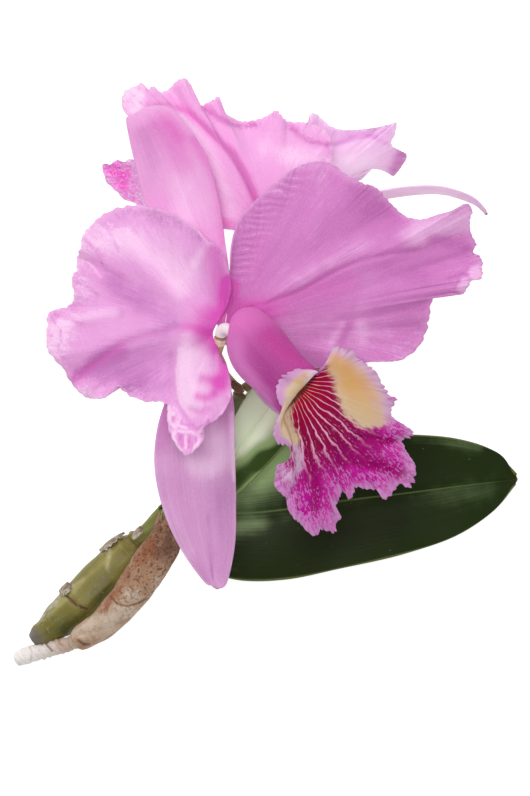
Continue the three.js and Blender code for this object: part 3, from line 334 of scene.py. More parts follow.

# Folds and flushes of colour drawn along lines in plan: width, rise, tone, blush, then the line.
# Tone above 0 is the piece's shade and below 0 its pale colour; blush is its strongest colour.
# Most tone is painted light and shade: painted shade in folds, hollows, rolled rims and sides turned
# from the lamps, painted light and sheen on ridges and lit sides; some is real colour, such as cracks.
LEFT_MIDRIB = [(-19.9, 24.6), (-30.4, 27.7), (-40.8, 25.7), (-56.6, 20.5), (-73.1, 8.6)]
RIGHT_MIDRIB = [(-8.2, 33.8), (13.2, 41.7), (27.9, 49.6), (43.7, 55.3), (59.5, 57.5), (81, 57.5)]
STROKES = {
    # Painted shade in the midrib groove, the valleys, the rolled upper rim and the pockets of the lower
    # frill; painted light on the ridges and lobes.
    "front_left_petal": [
        (8, 2.5, 0, 0, LEFT_MIDRIB),
        (2.2, -0.9, 0.3, 0.22, LEFT_MIDRIB),
        (3.4, 0, 0.5, 0.25, [(-56.6, 18), (-66, 12.5), (-76, 5.5)]),
        (9, 0, 0.25, 0, [(-64, 38), (-48, 38)]),
        (4, 1.6, 0, 0, [(-23.2, 27.5), (-36.1, 40.4), (-44, 48.4), (-58.9, 63.3)]),
        (4, 0, -0.45, 0, [(-32, 42), (-41, 50.5), (-55, 64)]),
        (5, -1, 0.55, 0, [(-66, 52), (-58, 45), (-50, 39), (-36.1, 31)]),
        (3, 1.5, -0.6, 0, [(-75.8, 29.6), (-66.8, 32.5), (-57.9, 33.5)]),
        (1.1, -0.4, 0.6, 0, [(-83, 32.3), (-77, 31), (-71, 28.5)]),
        (5, 0, -0.8, 0, [(-81, 19), (-80, 27)]),
        (0.6, 0.35, -0.9, 0, [(-84, 20), (-80.5, 22.5), (-82.5, 26), (-79, 29)]),
        (0.5, -0.35, 0.7, 0, [(-83, 30.5), (-79.5, 26), (-80.5, 19), (-77, 14)]),
        (0.5, -0.3, 0.6, 0, [(-84, 24), (-81.5, 24.5), (-79, 21.5)]),
        (0.7, -0.4, 0.5, 0, [(-75, 45), (-70, 44), (-65, 40)]),
        (0.6, 0.3, -0.6, 0, [(-73, 54), (-68, 52), (-64, 47)]),
        (0.6, -0.3, 0.5, 0, [(-71, 62), (-66.5, 58), (-63, 52)]),
        (0.7, -0.3, 0.4, 0, [(-64, 69), (-60, 64), (-57, 57)]),
        (4, 0.5, -0.5, 0, [(-72, 3), (-66, 1.5), (-59, 2)]),
        (9, -1, 0.55, 0, [(-62, 12), (-45, 14), (-39, 18)]),
        (6, 0, 0.45, 0, [(-56, 6), (-45, 4), (-40, 4)]),
        (2.2, -0.4, 0.4, 0.1, [(-36.4, 16), (-36.2, 8), (-35.5, 1)]),
        (7, 0, -1.1, 0, [(-28, 23), (-29, 12), (-28.5, -1)]),
        (1.3, 0.4, -0.8, 0, [(-32.6, 18), (-33.4, 10), (-33, 3), (-30.5, -3)]),
        (5, 3.4, 0, 0, [(-29, 25), (-30, 12), (-27, 0)]),
        (3.4, 0, 0, 0.8, [(-16, 18), (-15.6, 10), (-16.5, 5)]),
        (2.6, -0.3, 0, 0.55, [(-24, 7.5), (-19, 6.5)]),
        (2.2, -0.3, 0, 0.6, [(-26, 0.5), (-22.5, 0), (-20, 1.4)]),
        (1.6, -0.4, 0.1, 0.35, [(-29, -4.4), (-26, -5.4), (-22, -4.8)]),
        (4.4, -0.8, 0.36, 0, [(-58, 70.5), (-47, 72), (-35, 68.5), (-26, 63.5)]),
        (6, 0, -0.5, 0, [(-66, 63), (-68, 52), (-70, 42)]),
        (8, 0.5, -0.45, 0, [(-58, 60), (-47, 60), (-37, 56), (-30, 48)]),
        (2, 0.5, -0.5, 0, [(-21.5, 60), (-24.5, 56.5), (-27.1, 52.3)]),
        (5, -0.4, 0.35, 0.5, [(-18.8, 57), (-18.4, 48), (-17.5, 36)]),
        (2.6, 0, 0, 1.4, [(-13.8, 45), (-14.2, 40), (-15.4, 31)]),
        (4, 0, -0.15, 0, [(-36.5, -5), (-35, -12), (-32, -19)]),
        (0.6, 0.3, -1.2, 0, [(-37.4, -3), (-36.8, -9), (-34.6, -12), (-35.6, -15.5), (-33, -20.5)]),
        (0.9, -0.5, 0.7, 0, [(-34.5, -1.6), (-31.4, -6.7), (-28.9, -9.8), (-26.2, -12), (-21.5, -9)]),
        (0.5, 0.3, -1.1, 0, [(-33.8, -13), (-30.8, -13.4), (-27.8, -13.6), (-25.4, -16.5), (-27.6, -19.5)]),
        (0.6, 0.4, -0.9, 0, [(-36.2, -6), (-33.2, -8), (-33.8, -10.4), (-30.4, -11.6)]),
        (0.5, -0.4, 0.7, 0.15, [(-36, -9.6), (-34.4, -7), (-32.2, -10), (-29.4, -11)]),
        (0.5, -0.3, 0.6, 0.2, [(-34.8, -12), (-33.4, -15), (-33.8, -18.4)]),
        (0.5, 0.3, -0.9, 0, [(-25.4, -13.2), (-22.6, -11.4), (-20, -9.6), (-17.6, -8.4)]),
        (0.5, -0.3, 0.5, 0.2, [(-24, -11.8), (-21.4, -9.8), (-18.6, -6.6)]),
        (1.1, -0.6, 0.5, 0.4, [(-32.3, -14.8), (-31.9, -18.6)]),
        (1.0, -0.6, 0.5, 0.4, [(-29.2, -15), (-29.5, -19)]),
        (0.8, -0.5, 0.4, 0.3, [(-26.7, -15), (-27, -17)]),
        (0.5, 0.2, -1.2, 0, [(-30.9, -15), (-30.8, -19.5)]),
        (0.6, 0, 0.6, 0, [(-31.6, -21.2), (-29.6, -21.4)]),
    ],
    # Painted light on the midrib ridge and the tip; painted shade below the midrib, in the fold under the
    # tip and on the upper right.
    "front_right_petal": [
        (6, 1.2, 0, 0, RIGHT_MIDRIB),
        (1.2, -0.7, 0.45, 0.1, RIGHT_MIDRIB[:-1]),
        (4, 1.2, -0.28, 0, [(11, 44), (25.7, 53), (43.7, 62), (52.7, 63.2)]),
        (5.5, 0.5, -0.75, 0, [(59.5, 64.6), (70.8, 66.7), (77.6, 70.2)]),
        (6, -0.4, 0, 0.38, [(-2.6, 31.6), (14.4, 39.5), (31.3, 45.1)]),
        (4, 0, 0.4, 0, [(48.2, 49.6), (61.8, 47.4)]),
        (3, -1, 0.6, 0, [(66.3, 60.9), (79, 58.6)]),
        (4, 0.8, -0.12, 0, [(21.7, 86.9), (20, 72.2), (17.8, 60.9)]),
        (9, 0, -0.28, 0.06, [(6, 27), (30, 24), (46, 26)]),
        (7, -1, 0.35, 0, [(34.7, 81.2), (43.7, 72.2), (48.2, 67.7)]),
        (1.8, 0.6, -0.25, 0, [(30.2, 28), (26.8, 22.5), (24.5, 15.8)]),
        (2.4, 0.6, -0.2, 0, [(37.5, 28), (38.5, 21.4)]),
        (1.6, 0, 0.3, 0, [(33, 29), (30, 22), (29, 15)]),
        (4, 0, -0.15, 0, [(61, 31), (57, 22), (52, 17)]),
        (4, 0, -0.8, 0, [(82, 49), (77, 44)]),
        (0.8, 0, 0.7, 0, [(72, 46.5), (77.5, 48.5), (79.5, 46)]),
        (0.8, 0, 0.6, 0, [(74, 43.5), (79, 51), (83.5, 53)]),
        (5, 0, 0, 0.5, [(-12, 32), (-5, 33)]),
        (3, 0, 0, 1.4, [(-13, 43.5), (-14, 33)]),
        (6, 0, 0.1, 0.25, [(-4, 46), (-2, 62)]),
    ],
    # Where the right petal wrinkles near its upper-left margin; the finish paints shade and light in bands
    # over the wrinkles.
    "front_right_petal_creases": [
        (6, 0, 1, 0, [(11, 84), (3, 77), (-3, 69), (-7, 58), (-9, 50)]),
    ],
    # Painted shade in the midrib fold and under the rolled rims, painted light beside the midrib.
    "back_upper_petal": [
        (1.9, -1.0, 0.8, 0.28, [(-45.4, 113.7), (-39.3, 114.3), (-33.9, 113.5), (-28.4, 110.7),
                                (-19.1, 102), (-10.9, 93.2), (-3.1, 77)]),
        (4, 0.2, -0.6, 0, [(-46, 111), (-36, 111.5), (-30.5, 107), (-22, 96), (-16, 82), (-13, 71)]),
        (0.9, -0.3, 0.3, 0.2, [(-34, 113), (-28, 109.5), (-19, 100.5), (-11, 90.5), (-4, 78)]),
        (1.6, -0.8, 0.8, 0.1, [(-23.5, 113.5), (-18.7, 109.9), (-12.1, 106.6), (-4, 106.6)]),
        (1.6, -0.8, 0.8, 0.1, [(10, 106), (15, 101.5), (20, 99.5), (25, 99)]),
        (3, 0, -1.0, 0, [(-55, 118), (-50, 119), (-51, 113)]),
        (0.5, -0.3, 0.7, 0.15, [(-55, 117), (-52, 117), (-49, 121)]),
        (0.5, -0.3, 0.6, 0.1, [(-53.5, 113), (-50.5, 115), (-47, 116)]),
        (5, 0, -0.5, 0, [(0, 98), (12, 94), (20, 92)]),
        (3, 0, 0, 0.5, [(-26, 70), (-14, 68)]),
    ],
    # Painted shade along the top band and in a fold, painted light inside.
    "back_right_petal": [
        (3.5, 0, 0.5, 0, [(18, 108), (24, 104), (33, 103.5), (48, 105)]),
        (8, 0, -0.7, 0, [(25, 88), (38, 93)]),
        (1.2, -1, 0.6, 0, [(27.3, 98.9), (39.3, 102.6), (48, 99.5)]),
        (3.5, 0, 0.8, 0.7, [(54, 95.5), (51, 89.5)]),
        (7, 0, 0.35, 0, [(24, 98), (36, 99)]),
    ],
    # Painted shade on the left side and across the top, painted light lower down; the blush is magenta at
    # the hood and the right edge.
    "front_dorsal_sepal": [
        (6.5, 0, 0.1, 0.33, [(-40, 107), (-35, 101), (-31, 92)]),
        (3, 0, 0, 0.22, [(-37, 107), (-33, 102)]),
        (2.2, 0, 0, 0.4, [(-27.5, 101), (-21.5, 89), (-17.9, 75.4), (-16.2, 60.6)]),
        (6, 0, 0.45, 0, [(-48, 103), (-45, 92), (-40, 80)]),
        (8, 0, 0.3, 0.12, [(-45, 106), (-37, 98)]),
        (8, 0, -0.6, 0, [(-36, 82), (-30, 70.5)]),
        (3, 0, -0.5, 0, [(-50, 108), (-45, 110.5)]),
    ],
    # Painted shade down the right side and across the middle, painted light near the top and along the
    # margins.
    "front_left_sepal": [
        (5, 0, 0.4, 0, [(-17, -34), (-16, -50), (-18, -66)]),
        (6, 0, -0.8, 0, [(-21, -12), (-17, -22), (-20, -28)]),
        (6, 0, -0.4, 0, [(-35, -6), (-32, -16), (-29, -24)]),
        (4, 0, -0.4, 0, [(-40, -25), (-37, -42), (-30, -60)]),
        (4, 0, -0.4, 0, [(-28, -25), (-26, -40)]),
        (0.8, -0.1, 0.3, 0, [(-22.4, -46), (-20.5, -70)]),
        (9, 0, 0.25, 0, [(-34, -36), (-20, -42)]),
        (3, 0, 0.1, 0.4, [(-38.5, -4), (-40.5, -18)]),
        (1, 0, -0.7, 0, [(-12.8, -6), (-11.9, -32)]),
    ],
    "back_side_sepal": [
        (2, 0, -0.4, 0, [(20, 75), (50, 81), (75, 81)]),
    ],
    # Painted light along the tube's lit left edge and a painted shadow line along its upper right edge.
    "front_lip_tube": [
        (6, 0, 0, 0.8, [(2, 23), (9, 16.5), (14, 12)]),
        (5, 0, -0.9, 0, [(-13, 20), (-8, 9), (-1, -1)]),
        (1, 0, 1, 0, [(5.9, 20.3), (12.6, 15.8), (19.9, 11.7)]),
    ],
    # Painted shade in the folds between the lobes, painted light on their ridges; the blush strokes are
    # deeper magenta.
    "front_lip": [
        (1.8, -1.2, 0.9, 0, [(35.8, -15.1), (43.1, -15.7), (48.9, -16.7), (54.6, -14.1)]),
        (2.5, -0.6, 0.7, 0, [(29.5, -25.1), (37.9, -25.6), (45.7, -26.6), (56.2, -30.8)]),
        (2.2, 0.8, -0.6, 0, [(33.7, -27.7), (40.5, -30.8), (45.7, -32.9), (51, -33.9)]),
        (3.5, -0.5, 0.6, 0, [(17, -27.7), (19.6, -35.5), (18.6, -43.3)]),
        (5, 0, 0.6, 0, [(30, -20), (42, -20)]),
        (2.5, 0.3, 0, 0.9, [(23.8, -32.9), (25.4, -40.7), (22.2, -47.5)]),
        (4, 0.6, -0.9, 0, [(8.6, -31), (10.2, -36.5), (12.8, -43.3), (16, -48.6)]),
        (3, 0.8, -0.7, 0, [(5, -27.7), (9.7, -30.3)]),
        (2.6, 0.4, -1.7, 0, [(11.6, -18.6), (13, -22), (13.2, -27)]),
        (1.2, 0.4, -1.5, 0, [(43.5, -35.5), (45, -38)]),
        (4, 0.5, 0, 0.7, [(44, -22), (52, -20)]),
        (2, 0, 0, 0.9, [(34, -33), (46, -35.5)]),
        (3, 1, -0.5, 0, [(50, -12), (55, -13)]),
    ],
    "back_lip": [
        (3.5, 0, 0, 1, [(-60, 90), (-56, 88)]),
        (3, 0, 0, 0.6, [(-56, 83), (-53, 80)]),
    ],
    # Painted sheen: pale patches on the upper left and along the midrib; painted shade below the midrib
    # further right.
    "long_leaf": [
        (8, 0, -0.9, 0, [(-9, -26), (1, -24), (7, -20)]),
        (7, 0, -0.36, 0, [(-12, -36.5), (4, -33)]),
        (3, 0, -0.1, 0, [(-12, -42), (4, -41)]),
        (4, 0, -0.42, 0, [(-20, -51.5), (-10, -50.5), (-2, -49.2)]),
        (3.5, 0, -0.2, 0, [(8, -47.5), (22, -45)]),
        (4.5, 0, -0.22, 0, [(26, -43), (50, -40.5), (86, -36.5)]),
        (3, 0, -0.25, 0, [(58, -15.5), (83, -19)]),
        (5, 0, -0.5, 0, [(-31, -56), (-26, -61)]),
        (9, 0, 0.5, 0, [(20, -55), (50, -50)]),
    ],
    # Painted light on the upper part near the tube, painted shade in the dark band below the midrib; the
    # blush is a fresh green line.
    "short_leaf": [
        (6, 0, -0.9, 0, [(-10, -12), (-6, -3), (2, 7)]),
        (0.9, -0.3, -1.0, 0, [(2.3, -3.4), (-3.4, -10.9), (-11.4, -20.9)]),
        (5, 0, -0.8, 0, [(5, -4), (-2, -12.5), (-9, -22)]),
        (5, 0, 1.1, 0, [(-2, -23.5), (-7, -28), (-13, -34)]),
        (2.2, 0, 0.9, 0, [(9, -16.5), (4, -21), (-2, -26)]),
        (0.8, 0, -0.3, 0.35, [(8, -19), (-1, -28.5), (-11.4, -37.9)]),
    ],
    # A painted highlight along the upper-left flank and painted shade along the lower right; the rest are
    # pale wisps, the thin dark ring and darker patches.
    "green_pseudobulb": [
        (1.6, 0, -0.5, 0, [(-83, -84), (-74, -74.5), (-64, -64.5), (-57, -58.5)]),
        (4, 0, 0.3, 0.1, [(-88, -93), (-84, -89)]),
        (3, 0, 0.6, 0, [(-78, -91), (-68, -82), (-60, -74)]),
        (0.9, 0, -0.8, 0.45, [(-61.1, -58.7), (-61.2, -62), (-62, -66.5)]),
        (1.1, 0, -0.6, 0.4, [(-77, -76), (-74, -72.8), (-71.5, -71)]),
        (1.6, 0, -0.3, 0.45, [(-89, -88.5), (-84, -82), (-79, -77.5)]),
        (1.0, 0, -0.4, 0.35, [(-64, -61), (-59, -56.5), (-55, -54)]),
        (0.5, 0, 0, -2.0, [(-78.4, -76.8), (-75.5, -79.8), (-73, -81.6), (-69.6, -82.8)]),
        (1.5, 0, 0.4, 0, [(-51.5, -56.5), (-48.5, -57.5)]),
    ],
    "dry_sheath": [
        (2.6, 0, 0.2, 0.9, [(-46, -57), (-50, -63.5), (-54, -69), (-58.5, -75), (-63, -83)]),
        (6, 0, -0.7, 0, [(-70, -90.5), (-61.1, -86), (-52.9, -81)]),
        (6, 0, 0.5, 0, [(-39.2, -54.3), (-40.3, -62)]),
        (0.3, -0.2, 1.8, 0, [(-60.5, -77.5), (-57.5, -80.5), (-53.5, -81.2), (-49.5, -80),
                             (-46.4, -78.4)]),
        (3, 0, 0, 0.55, [(-40, -50), (-44, -58), (-47, -64)]),
        (0.6, -0.2, 1.4, 0, [(-73.2, -94.8), (-71, -96.2), (-68.8, -96.5)]),
        (2.2, 0, -0.4, 0, [(-44, -74), (-40, -66)]),
        (0.9, 0, 0.2, -0.95, [(-69, -86), (-66, -83)]),
    ],
    "rhizome": [
        (0.5, -0.25, 1.3, 0, [(-85.5, -94.6), (-85.8, -96.5), (-83.6, -99.2)]),
        (0.6, -0.15, 0, 1.0, [(-80.8, -94.3), (-80.6, -96.2), (-79.5, -97)]),
        (0.4, -0.15, 0.9, 0, [(-92.4, -97.6), (-91.5, -100), (-92, -103)]),
        (4, 0, -0.8, 0, [(-97, -102), (-93, -101)]),
    ],
}


# ---- Curves and surfaces --------------------------------------------------------------
def through(points):
    """A smooth curve through the points: a function of shares (0 to 1) along it."""
    rows = np.array(points, dtype=float)
    padded = np.vstack([2 * rows[0] - rows[1], rows, 2 * rows[-1] - rows[-2]])

    def at(share):
        place = np.clip(share, 0, 1) * (len(rows) - 1)
        first = np.minimum(place.astype(int), len(rows) - 2)
        f = (place - first)[:, None]
        before, start, end, after = (padded[first + k] for k in range(4))
        lead = (end - before) / 2
        tail = (after - start) / 2
        return ((2 * f ** 3 - 3 * f ** 2 + 1) * start + (f ** 3 - 2 * f ** 2 + f) * lead
                + (3 * f ** 2 - 2 * f ** 3) * end + (f ** 3 - f ** 2) * tail)
    return at


def tapering(points):
    """The centre line of a tube, as a curve, and the radii along it."""
    rows = np.array(points, dtype=float)
    return through(rows[:, :3]), rows[:, 3]


def smooth(value, low, high):
    f = np.clip((value - low) / (high - low), 0, 1)
    return f * f * (3 - 2 * f)


def between(value, low, full, late, high):
    """1 from full to late, falling smoothly to 0 at low and at high."""
    return smooth(value, low, full) * (1 - smooth(value, late, high))


def hump(value, centre, width):
    """A rounded rise of height 1 at the centre."""
    return np.exp(-((value - centre) / width) ** 2)


def ribs(count, share, turn=0):
    return np.cos(2 * math.pi * count * share + turn)


def along(values, share):
    """The value at a share of a row of evenly spread numbers, eased between neighbours."""
    row = np.array(values, dtype=float)
    place = np.clip(share, 0, 1) * (len(row) - 1)
    first = np.minimum(place.astype(int), len(row) - 2)
    f = smooth(place - first, 0, 1)
    return row[first] * (1 - f) + row[first + 1] * f


def unit(vectors):
    return vectors / np.maximum(np.linalg.norm(vectors, axis=1), 1e-9)[:, None]


def ripple(share, seed, low, high, count=7):
    """A repeatable uneven wave round 0, of about 1 at most, with low to high cycles in all."""
    rng = np.random.default_rng(seed)
    cycles = rng.uniform(low, high, count)
    starts = rng.uniform(0, 2 * math.pi, count)
    waves = [np.sin(2 * math.pi * c * share + p) for c, p in zip(cycles, starts)]
    return sum(waves) / math.sqrt(count)


def broad_margin(margin, reach):
    """The margin without its lobes: each point is the mean of itself and its neighbours."""
    last = len(margin) - 1
    rows = np.array(margin, dtype=float)
    spans = [min(reach, i, last - i) for i in range(last + 1)]
    return np.array([rows[i - n:i + n + 1].mean(axis=0) for i, n in enumerate(spans)])


def petal_surface(petal):
    """From claw to margin; the lobes, ruffles and crimps grow towards the margin."""
    inner = through(petal["claw"])
    outer = through(petal["margin"])
    rows = broad_margin(petal["margin"], reach=5)
    flap = np.zeros((len(rows), 1))
    if "flap_root" in petal:
        first = petal["flap_from"]
        after = first + len(petal["flap_root"])
        rows[first:after] = petal["flap_root"]
        flap[first:after] = 1
    broad = through(rows)
    flap_at = through(flap)
    seed = petal["seed"]

    def surface(s, t):
        middle = broad(s)
        start = inner(s)
        t1 = t[:, None]
        lobe_power = 4 + 4 * np.clip(flap_at(s), 0, 1)
        place = start + (middle - start) * t1 + (outer(s) - middle) * t1 ** lobe_power
        teeth = 0.28 * t ** 10 * ripple(s, seed + 2, 40, 110)
        place += unit(middle - start) * teeth[:, None]
        ruffle = along(petal["ruffle"], s) * t ** 6 * ripple(s, seed, 12, 26)
        crimp = 0.4 * t ** 14 * ripple(s, seed + 1, 50, 120)
        folds = 0.2 * t * (1 - t) * ripple(s, seed + 3, 8, 24)
        place[:, 2] += petal["arch"] * np.sin(math.pi * t) + ruffle + crimp + folds
        return place
    return surface


def strip_surface(strip, wave, seed, keel=0.0, torn=0.0):
    """A blade through three lines; torn edges draw in unevenly, most of all at both ends."""
    left, middle, right = (through(strip[side]) for side in ("left", "middle", "right"))

    def surface(s, t):
        across = 2 * s - 1
        full = np.sin(math.pi * (0.06 + 0.88 * t)) ** 0.5 + 0.12 * ripple(t, seed + 7, 2, 7)
        reach = 1 - torn * (1 - np.clip(full, 0.1, 1))
        v = (across * reach)[:, None]
        place = left(t) * v * (v - 1) / 2 + middle(t) * (1 - v * v) + right(t) * v * (v + 1) / 2
        groove = hump(across, 0, 0.09) * between(t, 0.0, 0.1, 0.88, 1.0)
        other_side = np.where(s < 0.5, 0, 9)
        sway = ripple(t + other_side, seed, 2, 7) * wave * across ** 4
        place[:, 2] += sway - keel * groove
        return place
    return surface


def tube_frame(path, share):
    """Points along a path and the way it runs there."""
    step = 0.002
    tangent = unit(path(np.clip(share + step, 0, 1)) - path(np.clip(share - step, 0, 1)))
    return path(share), tangent


def on_ring(centre, side, top, radius, angle, height=1.0):
    """Points on a ring round the centre; height scales it along its top vector."""
    across = side * (radius * np.cos(angle))[:, None]
    return centre + across + top * (radius * height * np.sin(angle))[:, None]


def lip_surface(lip):
    """A rolled tube up to the seam, then a blade that runs out of its mouth to the margin."""
    axis, radii = tapering(lip["tube"])
    margin = through(lip["margin"])
    rows = broad_margin(lip["margin"], reach=3)
    for first, points in lip["inlets"].items():
        rows[first:first + len(points), :2] = points
    broad = through(rows)
    seed = lip["seed"]
    overlap = 0.6
    just_inside = 0.875

    def tube_point(s, t):
        centre, tangent = tube_frame(axis, t)
        side = unit(np.cross(UP, tangent))
        top = np.cross(tangent, side)
        angle = np.radians(along(lip["turn"], s))
        near_mouth = t ** 3
        raised = np.maximum(np.sin(angle), 0)
        shallow = np.where(np.sin(angle) > 0, lip["mouth_flat"], lip["throat_flat"])
        height = 1 + (shallow - 1) * near_mouth
        radius = along(radii, t) + overlap * (1 - 2 * s)
        radius = radius + 0.18 * np.sin(math.pi * t) * ripple(s, seed + 9, 8, 20)
        lean = tangent * (lip["lean"] * near_mouth * raised)[:, None]
        return on_ring(centre, side, top, radius, angle, height) + lean

    def surface(s, t):
        out = np.clip((t - SEAM) / (1 - SEAM), 0, 1)
        tube = tube_point(s, np.clip(t / SEAM, 0, 1))
        ones = np.ones_like(s)
        mouth = tube_point(s, ones)
        run = 1.2 * (mouth - tube_point(s, just_inside * ones))
        middle = broad(s)
        o1 = out[:, None]
        opened = mouth + (middle - mouth) * o1 + (margin(s) - middle) * o1 ** 5
        opened += run * o1 * (1 - o1) ** 2
        teeth = 0.45 * out ** 14 * ripple(s, seed + 2, 70, 150)
        opened += unit(middle - mouth) * teeth[:, None]
        frill = lip["ruffle"] * out ** 3 * ripple(s, seed, 13, 27)
        crimp = 0.5 * out ** 9 * ripple(s, seed + 1, 40, 90)
        pleat = 0.12 * np.sin(math.pi * out) * ripple(s, seed + 3, 24, 46)
        if lip["calm"]:
            still = 1 - 0.85 * between(s, *lip["calm"])
            frill, pleat = frill * still, pleat * still
        opened[:, 2] += lip["bulge"] * np.sin(math.pi * out) * out + frill + crimp + pleat
        return np.where(t[:, None] < SEAM, tube, opened)
    return surface


def carried_frames(path, count):
    """Points, sideways and upright vectors along a path, turned as little as possible."""
    centre, tangent = tube_frame(path, np.linspace(0, 1, count))
    side = np.zeros_like(centre)
    first = np.cross(tangent[0], UP)
    side[0] = first / np.linalg.norm(first)
    for i in range(1, count):
        flat = side[i - 1] - tangent[i] * np.dot(side[i - 1], tangent[i])
        side[i] = flat / np.linalg.norm(flat)
    return centre, side, np.cross(side, tangent)


def stem_surface(points, swell, end_round):
    """A closed stem or bulb, s round it and t along it; swell adds to its radius."""
    path, radii = tapering(points)
    centre, side, top = carried_frames(path, STEM_RINGS)

    def surface(s, t):
        row = np.clip(np.rint(t * (STEM_RINGS - 1)).astype(int), 0, STEM_RINGS - 1)
        near_end = np.clip(np.minimum(t, 1 - t) / end_round, 0, 1)
        dome = np.sqrt(np.clip(1 - (1 - near_end) ** 2, 0, 1))
        radius = (along(radii, t) + swell(s, t)) * dome
        return on_ring(centre[row], side[row], top[row], radius, 2 * math.pi * s)
    return surface


def sheath_surface(points, stretch):
    """A torn roll round a bulb, open at one side, with ragged and lifted edges."""
    path, radii = tapering(points)

    def surface(s, t):
        torn = 0.02 * ripple(s, 51, 3, 14) * smooth(t, 0.8, 1.0)
        share = stretch["from"] + (stretch["to"] - stretch["from"]) * t + torn
        centre, tangent = tube_frame(path, share)
        side = unit(np.cross(tangent, UP))
        top = np.cross(side, tangent)
        early = 1 - smooth(s, 0, 0.1)
        late = smooth(s, 0.9, 1.0)
        ragged = 5 * ripple(t, 52, 3, 12) * (late - early)
        span = 360 - stretch["open"]
        angle = np.radians(stretch["turn"] - 90 + stretch["open"] / 2 + span * s + ragged)
        flare = 0.7 * (late + early)
        dent = 0.16 * ripple(s + 0.8 * t, 53, 2, 7)
        return on_ring(centre, side, top, along(radii, share) + SHEATH_LIFT + flare + dent, angle)
    return surface


# ---- Swellings of the stems, in millimetres -------------------------------------------
def column_swell(s, t):
    """The anther cap stands a little proud, with a notch in front of it."""
    return 0.35 * smooth(t, 0.86, 0.9) - 0.3 * hump(t, 0.86, 0.012)


def ovary_swell(s, t):
    return 0.12 * ribs(6, s) * smooth(t, 0.3, 0.7) + 0.3 * hump(t, 0.88, 0.015)


def stem_swell(s, t):
    return 0.35 * hump(t, 0.45, 0.015) + 0.3 * hump(t, 0.93, 0.03) + 0.05 * ribs(5, s)


def bulb_swell(s, t):
    """Grooved flanks, a pinched ring and a collar where the neck begins."""
    grooves = 0.1 * ribs(9, s, 3 * t) * between(t, 0.1, 0.3, 0.6, 0.7)
    ring = 0.3 * hump(t, 0.3, 0.012) - 0.3 * hump(t, 0.285, 0.008)
    return grooves + ring + 0.4 * hump(t, 0.72, 0.012) + 0.12 * ripple(s + 0.9 * t, 5, 2, 7)


def rhizome_swell(s, t):
    rings = 0.3 * hump(t, 0.46, 0.02) + 0.25 * hump(t, 0.2, 0.02)
    return rings - 0.2 + 0.15 * ripple(s + 3 * t, 12, 2, 8)


# ---- What is drawn on a surface -------------------------------------------------------
def drawn(name, places):
    """The rise, tone and blush that strokes give each place, by its distance in plan."""
    total = np.zeros((len(places), 4))
    for width, rise, tone, blush, points in STROKES.get(name, []):
        line = through(points)(np.linspace(0, 1, 7 * len(points)))
        nearest = np.full(len(places), 1e9)
        for start, end in zip(line[:-1], line[1:]):
            run = end - start
            share = np.clip((places[:, :2] - start) @ run / (run @ run), 0, 1)
            gap = places[:, :2] - start - share[:, None] * run
            nearest = np.minimum(nearest, (gap ** 2).sum(axis=1))
        weight = np.exp(-nearest / width ** 2)
        total += weight[:, None] * np.array([rise, tone, blush, 0])
    return total


def strokes_of(name):
    """Rise, tone and blush of a piece, and how strongly it is creased."""
    def draw(t, places):
        total = drawn(name, places)
        total[:, 3] = drawn(name + "_creases", places)[:, 1]
        return total
    return draw


def lip_strokes(name):
    """The rolled tube and the open blade of a lip are drawn on apart."""
    def draw(t, places):
        opened = drawn(name, places) * smooth(t, SEAM, SEAM + 0.1)[:, None]
        return np.where(t[:, None] < SEAM, drawn(name + "_tube", places), opened)
    return draw


def lip_marks(lip):
    """Angle round the throat, depth inside the yellow eyes and distance from the throat."""
    def mark(places):
        x, y = places[:, 0], places[:, 1]
        depth = np.full(len(places), FAR_OUTSIDE)
        for centre_x, centre_y, radius in lip["eyes"]:
            depth = np.maximum(depth, radius - np.hypot(x - centre_x, y - centre_y))
        from_x, from_y = x - lip["fan_from"][0], y - lip["fan_from"][1]
        return np.stack([np.arctan2(from_y, from_x), depth, np.hypot(from_x, from_y)], axis=1)
    return mark


# ---- Meshes ---------------------------------------------------------------------------
def shaped_grid(surface, columns, rows, draw, mark=None):
    """A grid moved onto the surface; it keeps its shares, its strokes and its marks."""
    bm = bmesh.new()
    bmesh.ops.create_grid(bm, x_segments=columns, y_segments=rows, size=0.5)
    flat = np.array([vert.co[:] for vert in bm.verts])
    s = flat[:, 0] + 0.5
    t = flat[:, 1] + 0.5
    places = surface(s, t)
    strokes = draw(t, places)
    layers = {"strokes": strokes[:, 1:]}
    if mark:
        layers["marks"] = mark(places)
    places[:, 2] = np.maximum(places[:, 2] + strokes[:, 0], FLOOR_GAP)
    places = (places - np.array([PLAN_CENTRE])) * MM
    shares = bm.loops.layers.uv.new("blade")
    for face in bm.faces:
        face.smooth = True
        for loop in face.loops:
            i = loop.vert.index
            loop[shares].uv = (s[i], t[i])
    for key, values in layers.items():
        layer = bm.verts.layers.float_vector.new(key)
        for vert, value in zip(bm.verts, values):
            vert[layer] = value
    for vert, place in zip(bm.verts, places):
        vert.co = place
    return bm


def add(name, data):
    """A new object in the scene, at the origin."""
    thing = bpy.data.objects.new(name, data)
    bpy.context.scene.collection.objects.link(thing)
    return thing


def piece_of(name, bm, finishes):
    mesh = bpy.data.meshes.new(name)
    bm.to_mesh(mesh)
    bm.free()
    for finish in finishes:
        mesh.materials.append(finish)
    return add(name, mesh)


def settle(piece, node, slot):
    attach(piece, "root")
    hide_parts(node)


def blade(node, slot, bm, thickness, *finishes):
    """A thin piece with a wall; a second finish covers its inside."""
    piece = piece_of(node + "_skin", bm, finishes)
    wall = piece.modifiers.new("wall", "SOLIDIFY")
    wall.thickness = thickness * MM
    wall.offset = 0.0
    wall.material_offset = len(finishes) - 1
    settle(piece, node, slot)


